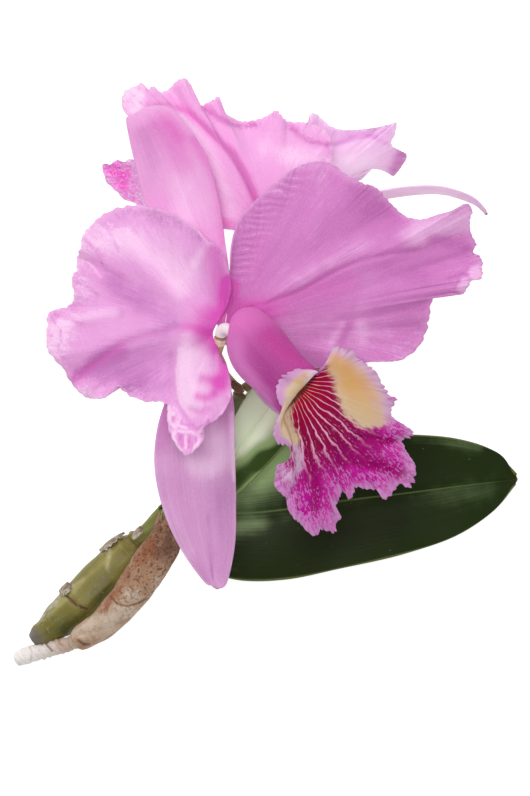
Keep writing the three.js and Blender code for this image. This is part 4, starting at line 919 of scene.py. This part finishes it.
def closed_stem(node, slot, bm, finish):
    """A solid piece whose seam and ends are merged."""
    bmesh.ops.remove_doubles(bm, verts=bm.verts, dist=MERGE_REACH)
    bmesh.ops.recalc_face_normals(bm, faces=bm.faces)
    settle(piece_of(node + "_skin", bm, [finish]), node, slot)


# ---- Finishes -------------------------------------------------------------------------
def tint(code):
    """A linear colour from six hexadecimal digits."""
    parts = [int(code[i:i + 2], 16) / 255 for i in (0, 2, 4)]
    linear = [p / 12.92 if p <= 0.04045 else ((p + 0.055) / 1.055) ** 2.4 for p in parts]
    return (*linear, 1.0)


class Wire:
    """A number running through a finish, with ordinary arithmetic."""

    def __init__(self, finish, socket):
        self.finish = finish
        self.socket = socket

    def maths(self, operation, *values):
        return self.finish.node("ShaderNodeMath", {"operation": operation}, dict(enumerate(values)))

    def __add__(self, other):
        return self.maths("ADD", self, other)

    def __sub__(self, other):
        return self.maths("SUBTRACT", self, other)

    def __rsub__(self, other):
        return self.maths("SUBTRACT", other, self)

    def __mul__(self, other):
        return self.maths("MULTIPLY", self, other)

    __radd__ = __add__
    __rmul__ = __mul__

    def sine(self):
        return self.maths("SINE", self)

    def size(self):
        return self.maths("ABSOLUTE", self)

    def most(self, other):
        return self.maths("MAXIMUM", self, other)

    def swing(self, share):
        """A noise as a swing to both sides of 0."""
        return (self - 0.5) * share

    def ease(self, low, high):
        """0 below low, 1 above high and smooth between (the other way round if low > high)."""
        if low > high:
            return 1 - self.ease(high, low)
        spread = {"Value": self, "From Min": low, "From Max": high, "To Min": 0.0, "To Max": 1.0}
        return self.finish.node("ShaderNodeMapRange", {"interpolation_type": "SMOOTHSTEP"}, spread)

    def band(self, low, high, soft):
        return self.ease(low - soft, low + soft) * self.ease(high + soft, high - soft)


class Finish:
    """A material with one Principled shader; a colour is six digits or comes from another node."""

    def __init__(self, name, **constants):
        self.material = bpy.data.materials.new(name)
        self.material.use_nodes = True
        self.tree = self.material.node_tree
        self.shader = self.tree.nodes["Principled BSDF"]
        self.where = self.node("ShaderNodeTexCoord", {}, {}, 3)
        for key, value in constants.items():
            self.feed(key.replace("_", " ").title().replace("Ior", "IOR"), value)

    def node(self, kind, settings, inputs, output=0):
        node = self.tree.nodes.new(kind)
        for key, value in settings.items():
            setattr(node, key, value)
        for key, value in inputs.items():
            self.fill(node.inputs[key], value)
        return Wire(self, node.outputs[output])

    def fill(self, socket, value):
        if isinstance(value, Wire):
            self.tree.links.new(value.socket, socket)
        else:
            socket.default_value = tint(value) if isinstance(value, str) else value

    def feed(self, socket, value):
        self.fill(self.shader.inputs[socket], value)

    def mix(self, factor, first, second):
        return self.node("ShaderNodeMix", {"data_type": "RGBA"}, {0: factor, 6: first, 7: second}, 2)

    def coats(self, colour, *coats):
        """A colour under any number of coats, each a factor and a colour."""
        for factor, coat in coats:
            colour = self.mix(factor, colour, coat)
        return colour

    def toned(self, level, body, shade, pale):
        """The shade where the level is above 0 and the pale colour where it is below."""
        return self.coats(body, (level.ease(0, 1), shade), (level.ease(0, -1), pale))

    def parts(self, vector):
        return tuple(self.node("ShaderNodeSeparateXYZ", {}, {0: vector}, k) for k in range(3))

    def shares(self):
        """The shares s and t of the surface."""
        return self.parts(self.node("ShaderNodeUVMap", {"uv_map": "blade"}, {}))[:2]

    def kept(self, name):
        """Three numbers kept at every point of the mesh."""
        settings = {"attribute_type": "GEOMETRY", "attribute_name": name}
        return self.parts(self.node("ShaderNodeAttribute", settings, {}, 1))

    def drawn_on(self):
        """The shares, then the tone, blush and crease of the strokes."""
        return (*self.shares(), *self.kept("strokes"))

    def noise(self, scale, detail, roughness=0.55, distortion=0.0, over=None):
        """Noise over the place on the piece, in metres, or over another vector."""
        values = {"Vector": over or self.where, "Scale": scale, "Detail": detail,
                  "Roughness": roughness, "Distortion": distortion}
        return self.node("ShaderNodeTexNoise", {}, values)

    def streaks(self, x, y, detail, roughness=0.55, distortion=0.0):
        """Noise over two numbers that follow the surface, drawn out along the slower one."""
        spot = self.node("ShaderNodeCombineXYZ", {}, {0: x, 1: y})
        return self.noise(1, detail, roughness, distortion, spot)

    def done(self, colour, roughness, height, depth, strength):
        """The material, with bumps whose full height is depth millimetres."""
        self.feed("Base Color", colour)
        self.feed("Roughness", roughness)
        values = {"Height": height, "Distance": depth * MM, "Strength": strength}
        self.feed("Normal", self.node("ShaderNodeBump", {}, values))
        return self.material


PETAL_SKIN = {"subsurface_weight": 0.18, "subsurface_radius": (1.0, 0.5, 0.8), "subsurface_scale": 0.002,
              "sheen_weight": 0.08, "sheen_roughness": 0.4, "specular_ior_level": 0.3}
VELVET = {"subsurface_weight": 0.1, "subsurface_radius": (1.0, 0.4, 0.7), "subsurface_scale": 0.0015,
          "specular_ior_level": 0.08}


def petal_finish(name, lace, hot, shade, body, pale):
    """Thin veins fan out from the claw under a fine crystalline skin; lace crumples the margin; the drawn
    tone paints shade and light.
    """
    finish = Finish(name, **PETAL_SKIN)
    s, t, tone, blush, crease = finish.drawn_on()
    x, y, _ = finish.parts(finish.where)
    drift = finish.noise(34, 3)
    cloud = finish.noise(150, 3)
    vein = finish.streaks(s * 230 + drift * 3, t * 4, 3, 0.6)
    fine = finish.streaks(s * 520, t * 11, 2)
    grain = finish.noise(FINE_GRAIN, 2)
    crumple = finish.noise(560, 4, 0.6, 1.2)
    edge = t.ease(0.7, 0.97) * lace
    # Fine wrinkles where the petal is creased: bumps, with painted shade in their troughs and painted light
    # on their crests.
    wave = ((y + x * 0.1 + drift.swing(0.012) + cloud.swing(0.003)) * 2100).sine()
    wrinkle = wave * wave * wave * crease
    # The drawn tone is mostly painted shade and light; drift, cloud and veins vary it at random.
    level = tone + drift.swing(0.7) + cloud.swing(0.5) + vein.swing(0.8) + fine.swing(0.5)
    level = level + (crumple - 0.56) * edge * 2.4 + wrinkle * 0.4
    flush = blush + t.ease(0.3, 0.02) * 0.75 + vein.swing(0.2)
    colour = finish.coats(
        finish.toned(level, body, shade, pale),
        (flush.ease(0, 1), hot),
        (t.ease(0.96, 1.0) * blush.ease(0.4, 0) * 0.3, pale),
        (grain.ease(0.5, 0.75) * 0.07, "FFF0FF"),
        (grain.ease(0.5, 0.25) * 0.2, shade))
    height = vein * 0.5 + fine * 0.3 + grain * 0.15 + drift * 0.4 + crumple * edge - wrinkle * 0.5
    return finish.done(colour, 0.5 + 0.2 * fine, height, 0.35, 0.8)


def sepal_finish(name, hot, shade, body, pale):
    """Parallel veins run from the foot to the tip; the drawn tone paints shade and light."""
    finish = Finish(name, **PETAL_SKIN)
    s, t, tone, blush, _ = finish.drawn_on()
    drift = finish.noise(40, 3)
    cloud = finish.noise(150, 3)
    vein = finish.streaks(s * 40 + drift, t * 2.2, 4, 0.65)
    grain = finish.noise(FINE_GRAIN, 2)
    level = tone + drift.swing(0.5) + cloud.swing(0.3) + vein.swing(0.9)
    flush = blush + t.ease(0.16, 0.0) * 0.6
    colour = finish.coats(
        finish.toned(level, body, shade, pale),
        (flush.ease(0, 1), hot),
        (grain.ease(0.5, 0.75) * 0.1, "FFF0FF"),
        (grain.ease(0.5, 0.25) * 0.15, shade),
        (t.ease(0.985, 0.998), "9C8A5C"))
    return finish.done(colour, 0.45 + 0.16 * vein, vein * 0.7 + grain * 0.2 + drift * 0.4, 0.45, 0.8)


def lip_outside_finish():
    """Deep magenta that pales towards the margin; the drawn tone paints shade and light."""
    finish = Finish("lip_outside", **PETAL_SKIN)
    s, t, tone, blush, _ = finish.drawn_on()
    drift = finish.noise(60, 2)
    vein = finish.streaks(s * 90, t * 3, 3, 0.6)
    grain = finish.noise(FINE_GRAIN, 2)
    body = finish.mix(t.ease(0.08, 0.36), "D86AB8", "A03284")
    level = tone + drift.swing(0.5) + vein.swing(0.4)
    colour = finish.coats(
        finish.toned(level, body, "8E2A72", "CE70B6"),
        (blush.ease(0, 1), "B83A90"),
        (t.ease(0.55, 0.95), "CB86BE"),
        (grain.ease(0.5, 0.75) * 0.04, "FFE6FF"))
    return finish.done(colour, 0.45 + 0.15 * vein, vein * 0.5 + grain * 0.2 + drift * 0.4, 0.4, 0.8)


def lip_inside_finish():
    """A crimson throat, a magenta blade with a pale net, and lavender side lobes."""
    finish = Finish("lip_inside", **VELVET)
    s, t, tone, blush, _ = finish.drawn_on()
    angle, depth, reach = finish.kept("marks")
    cloud = finish.noise(160, 3)
    grain = finish.noise(2200, 2)
    mottle = finish.streaks(angle * 46, reach * 0.45, 3, 0.65, 0.5)
    fine = finish.streaks(angle * 76, reach * 0.55, 2, 0.7)
    sway = finish.streaks(angle * 3, reach * 0.11, 2)
    # Dark dots, more of them where the strokes paint shade in the folds.
    dots = (tone + fine.swing(2.8) + mottle.swing(1.6)).ease(-0.1, 0.7)
    # The pale net grows towards the margin, at random, and a little where the strokes paint light.
    outer_paling_and_light = t * t * t * t * 0.16 - tone * 0.05 + cloud.swing(0.2)
    net = (mottle * 0.45 + fine * 0.55 + outer_paling_and_light).ease(0.6, 0.68) * reach.ease(16, 28)
    # Painted light: pale lilac where the strokes paint light on the ridges, broken by the mottle.
    painted_light_patch = (0 - tone + mottle.swing(1.4)).ease(0.7, 1.7)
    # Thin pale lines fan out of the throat, fork and fade halfway.
    phase = (angle + sway.swing(0.2)) * 23
    width = 0.15 + sway.swing(0.4) + mottle.swing(0.35)
    line = (phase.sine().size() - width).ease(0.18, 0.05) * (reach + mottle * 24).ease(54, 38)
    fork = ((phase * 2 + 0.9).sine().size() - mottle * 0.2).ease(0.16, 0.04)
    line = line.most(fork * reach.band(22, 36, 4) * mottle.ease(0.5, 0.58) * 0.8)
    # The side lobes have cream-yellow eyes, each with a pale halo.
    rolled = s.ease(0.215, 0.195)
    rim = t.ease(0.94, 1.0)
    halo = (depth + mottle.swing(6)).ease(-4.5, 0) * t.ease(0.7, 0.84) * angle.ease(-0.5, -0.3)
    ragged = depth + mottle.swing(6) + cloud.swing(3) - t.ease(0.82, 1.0) * 1.8
    inside = ragged.ease(-1.1, 1.6) * (1 - t.ease(0.78, 0.97) * 0.4)
    yellow = finish.coats(
        finish.mix((depth + cloud * 3).ease(0.5, 7), "D4B498", "D2A268"),
        (angle.ease(0.1, 0.7) * 0.5, "D08E44"),
        (angle.ease(0, -0.45) * 0.5, "D6C6AA"),
        (rolled * t.ease(0.72, 0.56) * 0.9, "DC9E4C"))
    colour = finish.coats(
        # Brighter crimson within a few millimetres of the throat: painted light against the shade of the
        # tube's mouth.
        finish.mix(reach.ease(3, 12), "D8143C", "AA0030"),
        (reach.ease(10, 24), "8E0042"),
        (reach.ease(26, 46), "BE1496"),
        (blush.ease(0, 1), "CC2CA4"),
        (dots * 0.9, finish.mix(reach.ease(26, 40), "6E003A", "960062")),
        (net * 0.8, "D084C8"),
        (line * 0.9, finish.mix(reach.ease(4, 15), "FFC08C", "E8A8C8")),
        (painted_light_patch * 0.7, "D8BCD8"),
        (s.ease(0.95, 0.972), "C070B4"),
        (rolled, finish.mix(t.ease(0.7, 0.95), "E2C6CE", "D49CC8")),
        (rim * 0.6, finish.mix(cloud, "C482C0", "E2B4E0")),
        (halo * (1 - rolled), finish.mix(cloud, "C690BE", "DCBCCE")),
        (inside * (1 - rim), yellow))
    height = (line * -0.3 + mottle * 0.5 + fine * 0.3) * (1 - inside) + grain * 0.12
    return finish.done(colour, 0.5 + 0.15 * mottle, height, 0.3, 0.8)


def back_lip_finish():
    """Nearly white with a pink net, and magenta in the tube."""
    finish = Finish("back_lip_inside", **{**VELVET, "subsurface_weight": 0.4})
    _, t, _, blush, _ = finish.drawn_on()
    net = finish.noise(760, 4, 0.65, 1.0)
    fleck = finish.noise(1300, 2)
    colour = finish.coats(
        finish.mix(net.ease(0.4, 0.6), "FF9CE8", "FFE6FC"),
        (blush.ease(0, 1) * net.ease(0.66, 0.5) * 0.9, "FF5AD2"),
        (t.ease(0.62, 0.5), "A81A78"),
        (fleck.ease(0.58, 0.7) * 0.5, "FFEAFC"))
    return finish.done(colour, 0.5 + 0.15 * net, net + fleck * 0.3, 0.25, 0.8)


def column_finish():
    """White wax that turns lavender, with a cream cap and a brown foot."""
    finish = Finish("column_wax", subsurface_weight=0.3, subsurface_scale=0.002, coat_weight=0.1)
    _, t = finish.shares()
    grain = finish.noise(900, 2)
    colour = finish.coats(
        "F4ECEC",
        (t.ease(0.3, 0.8), "E7B5D8"),
        (t.ease(0.9, 0.96), "F3E6B8"),
        (t.ease(0.04, 0.015) * 0.8, "A87C4E"))
    return finish.done(colour, 0.35 + 0.15 * grain, grain, 0.1, 0.6)


def stalk_finish():
    """Green at the foot, buff, brown-buff and cream at the bloom."""
    finish = Finish("stalk_skin", subsurface_weight=0.15, subsurface_scale=0.0015)
    s, t = finish.shares()
    streak = finish.streaks(s * 18, t * 5, 3)
    grain = finish.noise(FINE_GRAIN, 2)
    colour = finish.coats(
        "6B6A30",
        (t.ease(0.12, 0.35), "C3BD8E"),
        (t.ease(0.45, 0.62), "BB9770"),
        (t.ease(0.84, 0.9), "EBDCC4"),
        (streak.ease(0.5, 0.7) * 0.35, "9A7A4E"),
        (t.ease(0.975, 0.99) * 0.8, "A8804E"))
    return finish.done(colour, 0.42 + 0.2 * streak, streak * 0.7 + grain * 0.2, 0.3, 0.7)


def stem_finish():
    """Streaked green with brown specks and a brown fork."""
    finish = Finish("stem_skin", coat_weight=0.05)
    s, t = finish.shares()
    streak = finish.streaks(s * 16, t * 6, 3)
    speck = finish.noise(900, 2)
    colour = finish.coats(
        "2E3D16",
        (streak, "59692E"),
        (speck.ease(0.6, 0.7) * 0.6, "5D4326"),
        (t.ease(0.88, 0.95) * streak.ease(0.35, 0.6), "5B3018"))
    return finish.done(colour, 0.4 + 0.2 * streak, streak + speck * 0.3, 0.3, 0.7)


def leaf_finish(name, dark, mid, light, fresh):
    """Leathery, with faint parallel lines, a sunk midrib and a thin yellow-green margin; the drawn tone
    paints its sheen and its shade.
    """
    finish = Finish(name, coat_weight=0.02, coat_roughness=0.25, specular_ior_level=0.1)
    s, t, tone, blush, _ = finish.drawn_on()
    across = (s - 0.5).size()
    patch = finish.noise(24, 3)
    cloud = finish.noise(120, 3)
    line = finish.streaks(s * 110, t * 2.2, 2, 0.6)
    speck = finish.noise(700, 2)
    pit = finish.node("ShaderNodeTexVoronoi", {}, {"Vector": finish.where, "Scale": 260})
    level = tone + patch.swing(0.5) + cloud.swing(0.3) + line.swing(0.35)
    colour = finish.coats(
        finish.toned(level, mid, dark, light),
        (blush.ease(0, 1), fresh),
        (across.ease(0.012, 0.003) * 0.6, fresh),
        (across.ease(0.49, 0.498) * 0.5, "7F8A45"),
        (speck.ease(0.72, 0.82) * 0.2, light),
        (t.ease(0.99, 0.999), "6E4A2C"))
    height = line * 0.5 + pit * 0.12 + patch * 0.6
    return finish.done(colour, 0.36 + 0.14 * patch + 0.1 * line, height, 0.4, 0.6)


def bulb_finish(name, foot):
    """Olive skin with grey film; drawn strokes add the pale wisps, the thin dark ring, a painted highlight
    on the upper left and painted shade on the lower right.
    """
    finish = Finish(name, coat_weight=0.08, coat_roughness=0.35, specular_ior_level=0.35)
    s, t, tone, blush, _ = finish.drawn_on()
    patch = finish.noise(70, 4)
    streak = finish.streaks(s * 22, t * 4, 4, 0.6)
    film = finish.noise(300, 5, 0.7, 1.5)
    speck = finish.noise(900, 2)
    level = tone + patch.swing(1.5) + streak.swing(1.1) + film.swing(0.8)
    haze = (blush + film.swing(2.2)).ease(0.1, 0.9)
    ring = (0 - blush).ease(0.5, 1.3)
    colour = finish.coats(
        finish.toned(level, "78702F", "4A4A18", "9E965A"),
        (t.ease(0.74, 0.8) * 0.85, "747A32"),
        (haze * 0.62, "C4BFB0"),
        (t.ease(0.13, 0.03) * 0.8, foot),
        (ring * 0.9, "63382E"),
        (speck.ease(0.7, 0.78) * 0.5, "C4BE98"))
    return finish.done(colour, 0.42 + 0.25 * film, streak * 0.6 + film * 0.4 - ring, 0.4, 0.7)


def husk_finish(name, base, dark, pale, rust):
    """Dry, fibrous and freckled; drawn strokes add rust, cracks and a green patch."""
    finish = Finish(name, sheen_weight=0.05)
    s, t, tone, blush, _ = finish.drawn_on()
    patch = finish.noise(80, 4)
    cloud = finish.noise(260, 4, 0.65)
    fibre = finish.streaks(s * 120, t * 6, 4, 0.65)
    fleck = finish.noise(800, 2, 0.6)
    grain = finish.noise(2400, 2)
    level = tone + t * 0.5 - 0.25 + patch.swing(1.5) + cloud.swing(1.9) + grain.swing(0.9)
    stain = (blush + cloud.swing(2.2) + grain.swing(2.0)).ease(0.2, 1.2)
    colour = finish.coats(
        finish.toned(level, base, dark, pale),
        (fibre.ease(0.5, 0.75) * 0.3, dark),
        (stain * 0.75, rust),
        ((0 - blush).ease(0.4, 1.2), "74803C"),
        (fleck.ease(0.54, 0.61) * t.ease(0.1, 0.65) * 0.85, "56341E"))
    height = fibre * 0.5 + grain * 0.25 + patch * 0.5 + cloud * 0.4
    return finish.done(colour, 0.7 + 0.2 * fibre, height, 0.6, 0.9)


def paper_finish():
    """Grey-brown fibres, paler along the sides as painted highlights on the curled edges, and dark at the
    tip.
    """
    finish = Finish("old_paper", sheen_weight=0.1)
    s, t = finish.shares()
    fibre = finish.streaks(s * 14, t * 2.5, 4, 0.6, 0.4)
    patch = finish.noise(380, 3)
    colour = finish.coats(
        "A89A80",
        (fibre.ease(0.35, 0.65), "65533C"),
        (patch.ease(0.45, 0.7) * 0.55, "CFC8B8"),
        ((s - 0.5).size().ease(0.43, 0.48) * 0.8, "C6BDAC"),
        (t.ease(0.6, 1.0) * 0.8, "4A3226"))
    return finish.done(colour, 0.65 + 0.2 * fibre, fibre + patch * 0.5, 0.25, 0.7)


def rhizome_finish():
    """Bleached and fibrous, with rusty strokes and a browner end at the bulbs."""
    finish = Finish("rhizome_skin")
    s, t, tone, blush, _ = finish.drawn_on()
    patch = finish.noise(140, 4)
    fibre = finish.streaks(s * 30, t * 7, 4, 0.65)
    grain = finish.noise(FINE_GRAIN, 2)
    level = tone + patch.swing(0.8) + fibre.swing(0.5) + grain.swing(0.5)
    colour = finish.coats(
        finish.toned(level, "E0D6D0", "8F7668", "F6F2F0"),
        (blush.ease(0.1, 0.9) * 0.8, "A56A42"),
        ((t + patch.swing(0.6)).ease(0.45, 0.9) * 0.75, "B0907C"))
    return finish.done(colour, 0.75 + 0.15 * fibre, fibre * 0.6 + patch * 0.6 + grain * 0.2, 0.5, 0.8)


# ---- The pieces -----------------------------------------------------------------------
def build_petals():
    for name, petal in PETALS.items():
        finish = petal_finish(name + "_skin", petal["lace"], *petal["tints"])
        bm = shaped_grid(petal_surface(petal), *petal["grid"], strokes_of(name))
        blade(name, "petal", bm, PETAL_THICKNESS, finish)


def build_sepals():
    for number, (name, sepal) in enumerate(SEPALS.items()):
        finish = sepal_finish(name + "_skin", *sepal.get("tints", SEPAL_TINTS))
        surface = strip_surface(sepal, keel=0.5, wave=0.4, seed=60 + number)
        bm = shaped_grid(surface, *sepal.get("grid", SEPAL_GRID), strokes_of(name))
        blade(name, "sepal", bm, SEPAL_THICKNESS, finish)


def build_lips():
    outside = lip_outside_finish()
    plans = {"front_lip": (lip_inside_finish(), 520, 84), "back_lip": (back_lip_finish(), 240, 56)}
    for name, (inside, columns, rows) in plans.items():
        lip = LIPS[name]
        bm = shaped_grid(lip_surface(lip), columns, rows, lip_strokes(name), lip_marks(lip))
        blade(name, "lip", bm, LIP_THICKNESS, outside, inside)


def build_stems():
    green = bulb_finish("bulb_skin", "6E6468")
    young = bulb_finish("young_bulb_skin", "C2A894")
    plans = {       # finish, swell, slot, steps round and along, share that each end rounds over
        "front_ovary": (stalk_finish(), ovary_swell, "stalk", 36, 90, 0.02),
        "front_column": (column_finish(), column_swell, "column", 36, 90, 0.06),
        "flower_stem": (stem_finish(), stem_swell, "stem", 32, 110, 0.02),
        "green_pseudobulb": (green, bulb_swell, "bulb", 100, 200, 0.02),
        "sheathed_pseudobulb": (young, bulb_swell, "bulb", 56, 150, 0.02),
        "rhizome": (rhizome_finish(), rhizome_swell, "rhizome", 48, 120, 0.06),
    }
    plans["back_ovary"] = plans["front_ovary"]
    plans["back_column"] = plans["front_column"]
    for name, (finish, swell, slot, columns, rows, end_round) in plans.items():
        bm = shaped_grid(stem_surface(STEMS[name], swell, end_round), columns, rows, strokes_of(name))
        closed_stem(name, slot, bm, finish)


def build_leaves():
    for name, leaf in LEAVES.items():
        surface = strip_surface(leaf, keel=0.8, wave=0.6, seed=77)
        bm = shaped_grid(surface, 60, 150, strokes_of(name))
        blade(name, "leaf", bm, LEAF_THICKNESS, leaf_finish(name + "_skin", *leaf["tints"]))


def build_papers():
    surface = sheath_surface(STEMS["sheathed_pseudobulb"], SHEATH)
    bm = shaped_grid(surface, 150, 140, strokes_of("dry_sheath"))
    finish = husk_finish("dry_sheath_skin", *SHEATH["tints"])
    blade("dry_sheath", "dry_husk", bm, PAPER_THICKNESS, finish)
    paper = paper_finish()
    for number, (name, strip) in enumerate(PAPERS.items()):
        surface = strip_surface(strip, wave=0.15, seed=90 + number, torn=1.0)
        finish = husk_finish(name + "_skin", *strip["tints"]) if "tints" in strip else paper
        blade(name, "dry_husk", shaped_grid(surface, 24, 40, strokes_of(name)), PAPER_THICKNESS, finish)


# ---- Stage ----------------------------------------------------------------------------
def build_floor():
    bm = bmesh.new()
    bmesh.ops.create_grid(bm, x_segments=1, y_segments=1, size=FLOOR_REACH)
    finish = Finish("white_paper", roughness=0.9, emission_color=WHITE, emission_strength=FLOOR_GLOW)
    finish.feed("Base Color", finish.mix(finish.noise(120, 2), "B4B4B4", "BCBCBC"))
    floor = piece_of("floor", bm, [finish.material])


def build_light():
    world = bpy.data.worlds.new("studio")
    world.use_nodes = True
    sky = world.node_tree.nodes["Background"].inputs
    sky["Color"].default_value = WHITE
    sky["Strength"].default_value = SKY_GLOW
    bpy.context.scene.world = world
    for name, (place, side, watts) in LAMPS.items():
        lamp = bpy.data.lights.new(name, "AREA")
        lamp.shape = "SQUARE"
        lamp.size = side
        lamp.energy = watts
        x, y, z = np.array(BLOOM) - np.array(place)
        holder = add(name, lamp)
        holder.location = place
        holder.rotation_euler = (math.atan2(math.hypot(x, y), -z), 0, math.atan2(y, x) - math.pi / 2)


def build_camera():
    camera = bpy.data.cameras.new("camera")
    camera.sensor_width = SENSOR
    camera.lens = SENSOR * (CAMERA_HEIGHT - FOCUS_LEVEL) / (IMAGE_HEIGHT * MM)
    holder = add("camera", camera)
    holder.location = (-PLAN_CENTRE[0] * MM, -PLAN_CENTRE[1] * MM, CAMERA_HEIGHT)
    bpy.context.scene.camera = holder
    bpy.context.scene.view_settings.view_transform = "Standard"


build_petals()
build_sepals()
build_lips()
build_stems()
build_leaves()
build_papers()
build_floor()
build_light()
build_camera()
